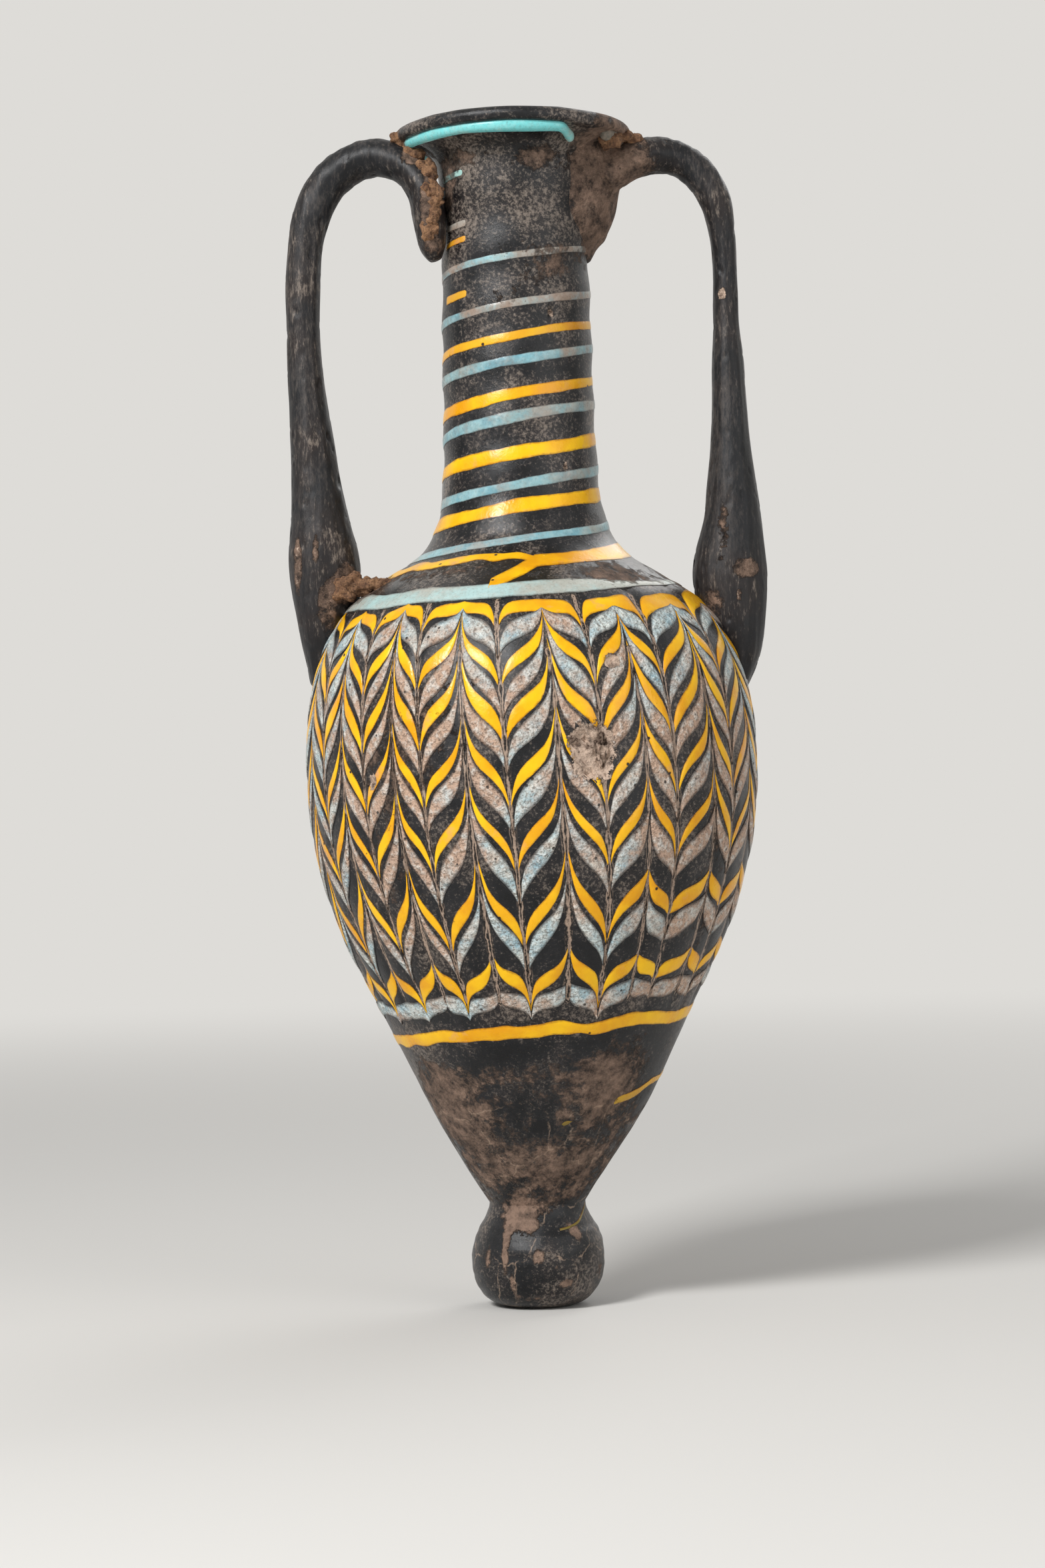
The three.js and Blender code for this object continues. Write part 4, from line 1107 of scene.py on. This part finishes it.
def makeSoil(name, clots):
    shape = bmesh.new()
    for centre, halfSizes in clots:
        place = Matrix.Translation(centre) @ Matrix.Diagonal((*halfSizes, 1))
        bmesh.ops.create_icosphere(shape, subdivisions=3, radius=0.8, matrix=place)
        for _ in range(soilMaking["crumbs"]):
            out = Vector((random.gauss(0, 1), random.gauss(0, 1), random.gauss(0, 1))).normalized()
            size = random.uniform(soilMaking["crumbFrom"], soilMaking["crumbTo"])
            spot = place @ (out * random.uniform(0.65, 0.95))
            bmesh.ops.create_icosphere(shape, subdivisions=2, radius=size, matrix=Matrix.Translation(spot))
    piece = addPiece(name, shape, soilLook, "dark_glass")
    remeshed(piece, soilMaking["voxel"])
    shape = bmesh.new()
    shape.from_mesh(piece.data)
    shape.normal_update()
    for vert in shape.verts:
        grain = noise.noise(vert.co / mm / soilMaking["grainSize"])
        vert.co += vert.normal * soilMaking["roughness"] * grain * mm
    shape.to_mesh(piece.data)
    shape.free()


for clotName, clotPlaces in soilClots.items():
    makeSoil(clotName, clotPlaces)
print("soil done")


# Floor, light and camera

studio = {
    "floorRadius": 4000.0, "floorColour": "#dedcd8", "wallColour": "#dedcd8",
    "fadeStart": 160.0, "fadeEnd": 700.0, "roomLight": 0.26,
}


def shownRays(tree):
    # One where the camera looks, and where glossy and transmission rays go, so that glass shows the backdrop too.
    seen = addNode(tree, "ShaderNodeLightPath", {}, "Is Camera Ray")
    rays = seen.node.outputs
    mirrored = addNode(tree, "ShaderNodeMath", {0: seen, 1: rays["Is Glossy Ray"]}, operation="MAXIMUM")
    return addNode(tree, "ShaderNodeMath", {0: mirrored, 1: rays["Is Transmission Ray"]}, operation="MAXIMUM")


def makeFloor():
    shape = bmesh.new()
    bmesh.ops.create_circle(shape, cap_ends=True, segments=96, radius=studio["floorRadius"] * mm)
    mesh = bpy.data.meshes.new("floor")
    shape.to_mesh(mesh)
    shape.free()
    floor = bpy.data.objects.new("floor", mesh)
    bpy.context.scene.collection.objects.link(floor)
    material, tree, place = newMaterial("painted studio floor, matt")
    away = addNode(tree, "ShaderNodeVectorMath", {0: place}, "Value", operation="LENGTH")
    far = addNode(tree, "ShaderNodeMapRange", {
        "Value": away, **between(studio["fadeStart"] * mm, studio["fadeEnd"] * mm)}, interpolation_type="SMOOTHSTEP")
    fade = addNode(tree, "ShaderNodeMath", {0: far, 1: shownRays(tree)}, operation="MULTIPLY")
    paint = addNode(tree, "ShaderNodeBsdfPrincipled", {
        "Base Color": linear(studio["floorColour"]), "Roughness": 0.8, "Specular IOR Level": 0.2})
    glow = addNode(tree, "ShaderNodeEmission", {"Color": linear(studio["wallColour"]), "Strength": 1.0})
    mixed = addNode(tree, "ShaderNodeMixShader", {0: fade, 1: paint, 2: glow})
    addNode(tree, "ShaderNodeOutputMaterial", {"Surface": mixed})
    mesh.materials.append(material)


def makeRoom():
    world = bpy.data.worlds.new("studio")
    world.use_nodes = True
    tree = world.node_tree
    tree.nodes.clear()
    light = addNode(tree, "ShaderNodeBackground", {"Color": (1.0, 1.0, 1.0, 1.0), "Strength": studio["roomLight"]})
    wall = addNode(tree, "ShaderNodeBackground", {"Color": linear(studio["wallColour"]), "Strength": 1.0})
    mixed = addNode(tree, "ShaderNodeMixShader", {0: shownRays(tree), 1: light, 2: wall})
    addNode(tree, "ShaderNodeOutputWorld", {"Surface": mixed})
    bpy.context.scene.world = world


# Softboxes: place in millimetres, size and power in watts
lamps = {
    "key": ((-330.0, -470.0, 470.0), 190.0, 4.5),
    "fill": ((430.0, -420.0, 180.0), 420.0, 0.8),
    "back": ((260.0, 420.0, 420.0), 300.0, 0.8),
}


def makeLamps():
    for name, (place, size, power) in lamps.items():
        light = bpy.data.lights.new(name, "AREA")
        light.shape = "SQUARE"
        light.size = size * mm
        light.energy = power
        lamp = bpy.data.objects.new(name, light)
        lamp.location = Vector(place) * mm
        aim = Vector((0, 0, 85.0)) * mm - lamp.location
        lamp.rotation_euler = aim.to_track_quat("-Z", "Y").to_euler()
        bpy.context.scene.collection.objects.link(lamp)


camera = {
    "eye": (-0.59, -500.0, 67.6), "aim": (-0.59, 0.0, 66.2), "roll": -1.32,
    "lens": 90.27, "sensor": 36.0,
}


def makeCamera():
    data = bpy.data.cameras.new("camera")
    data.sensor_fit = "AUTO"
    data.sensor_width = camera["sensor"]
    data.lens = camera["lens"]
    data.clip_start = 0.01
    data.clip_end = 20.0
    eye = Vector(camera["eye"]) * mm
    aim = Vector(camera["aim"]) * mm
    turned = (aim - eye).to_track_quat("-Z", "Y").to_matrix().to_4x4()
    holder = bpy.data.objects.new("camera", data)
    holder.matrix_world = Matrix.Translation(eye) @ turned @ Matrix.Rotation(math.radians(camera["roll"]), 4, "Z")
    bpy.context.scene.collection.objects.link(holder)
    bpy.context.scene.camera = holder


makeFloor()
makeRoom()
makeLamps()
makeCamera()
bpy.context.scene.view_settings.view_transform = "Standard"
print("studio done")
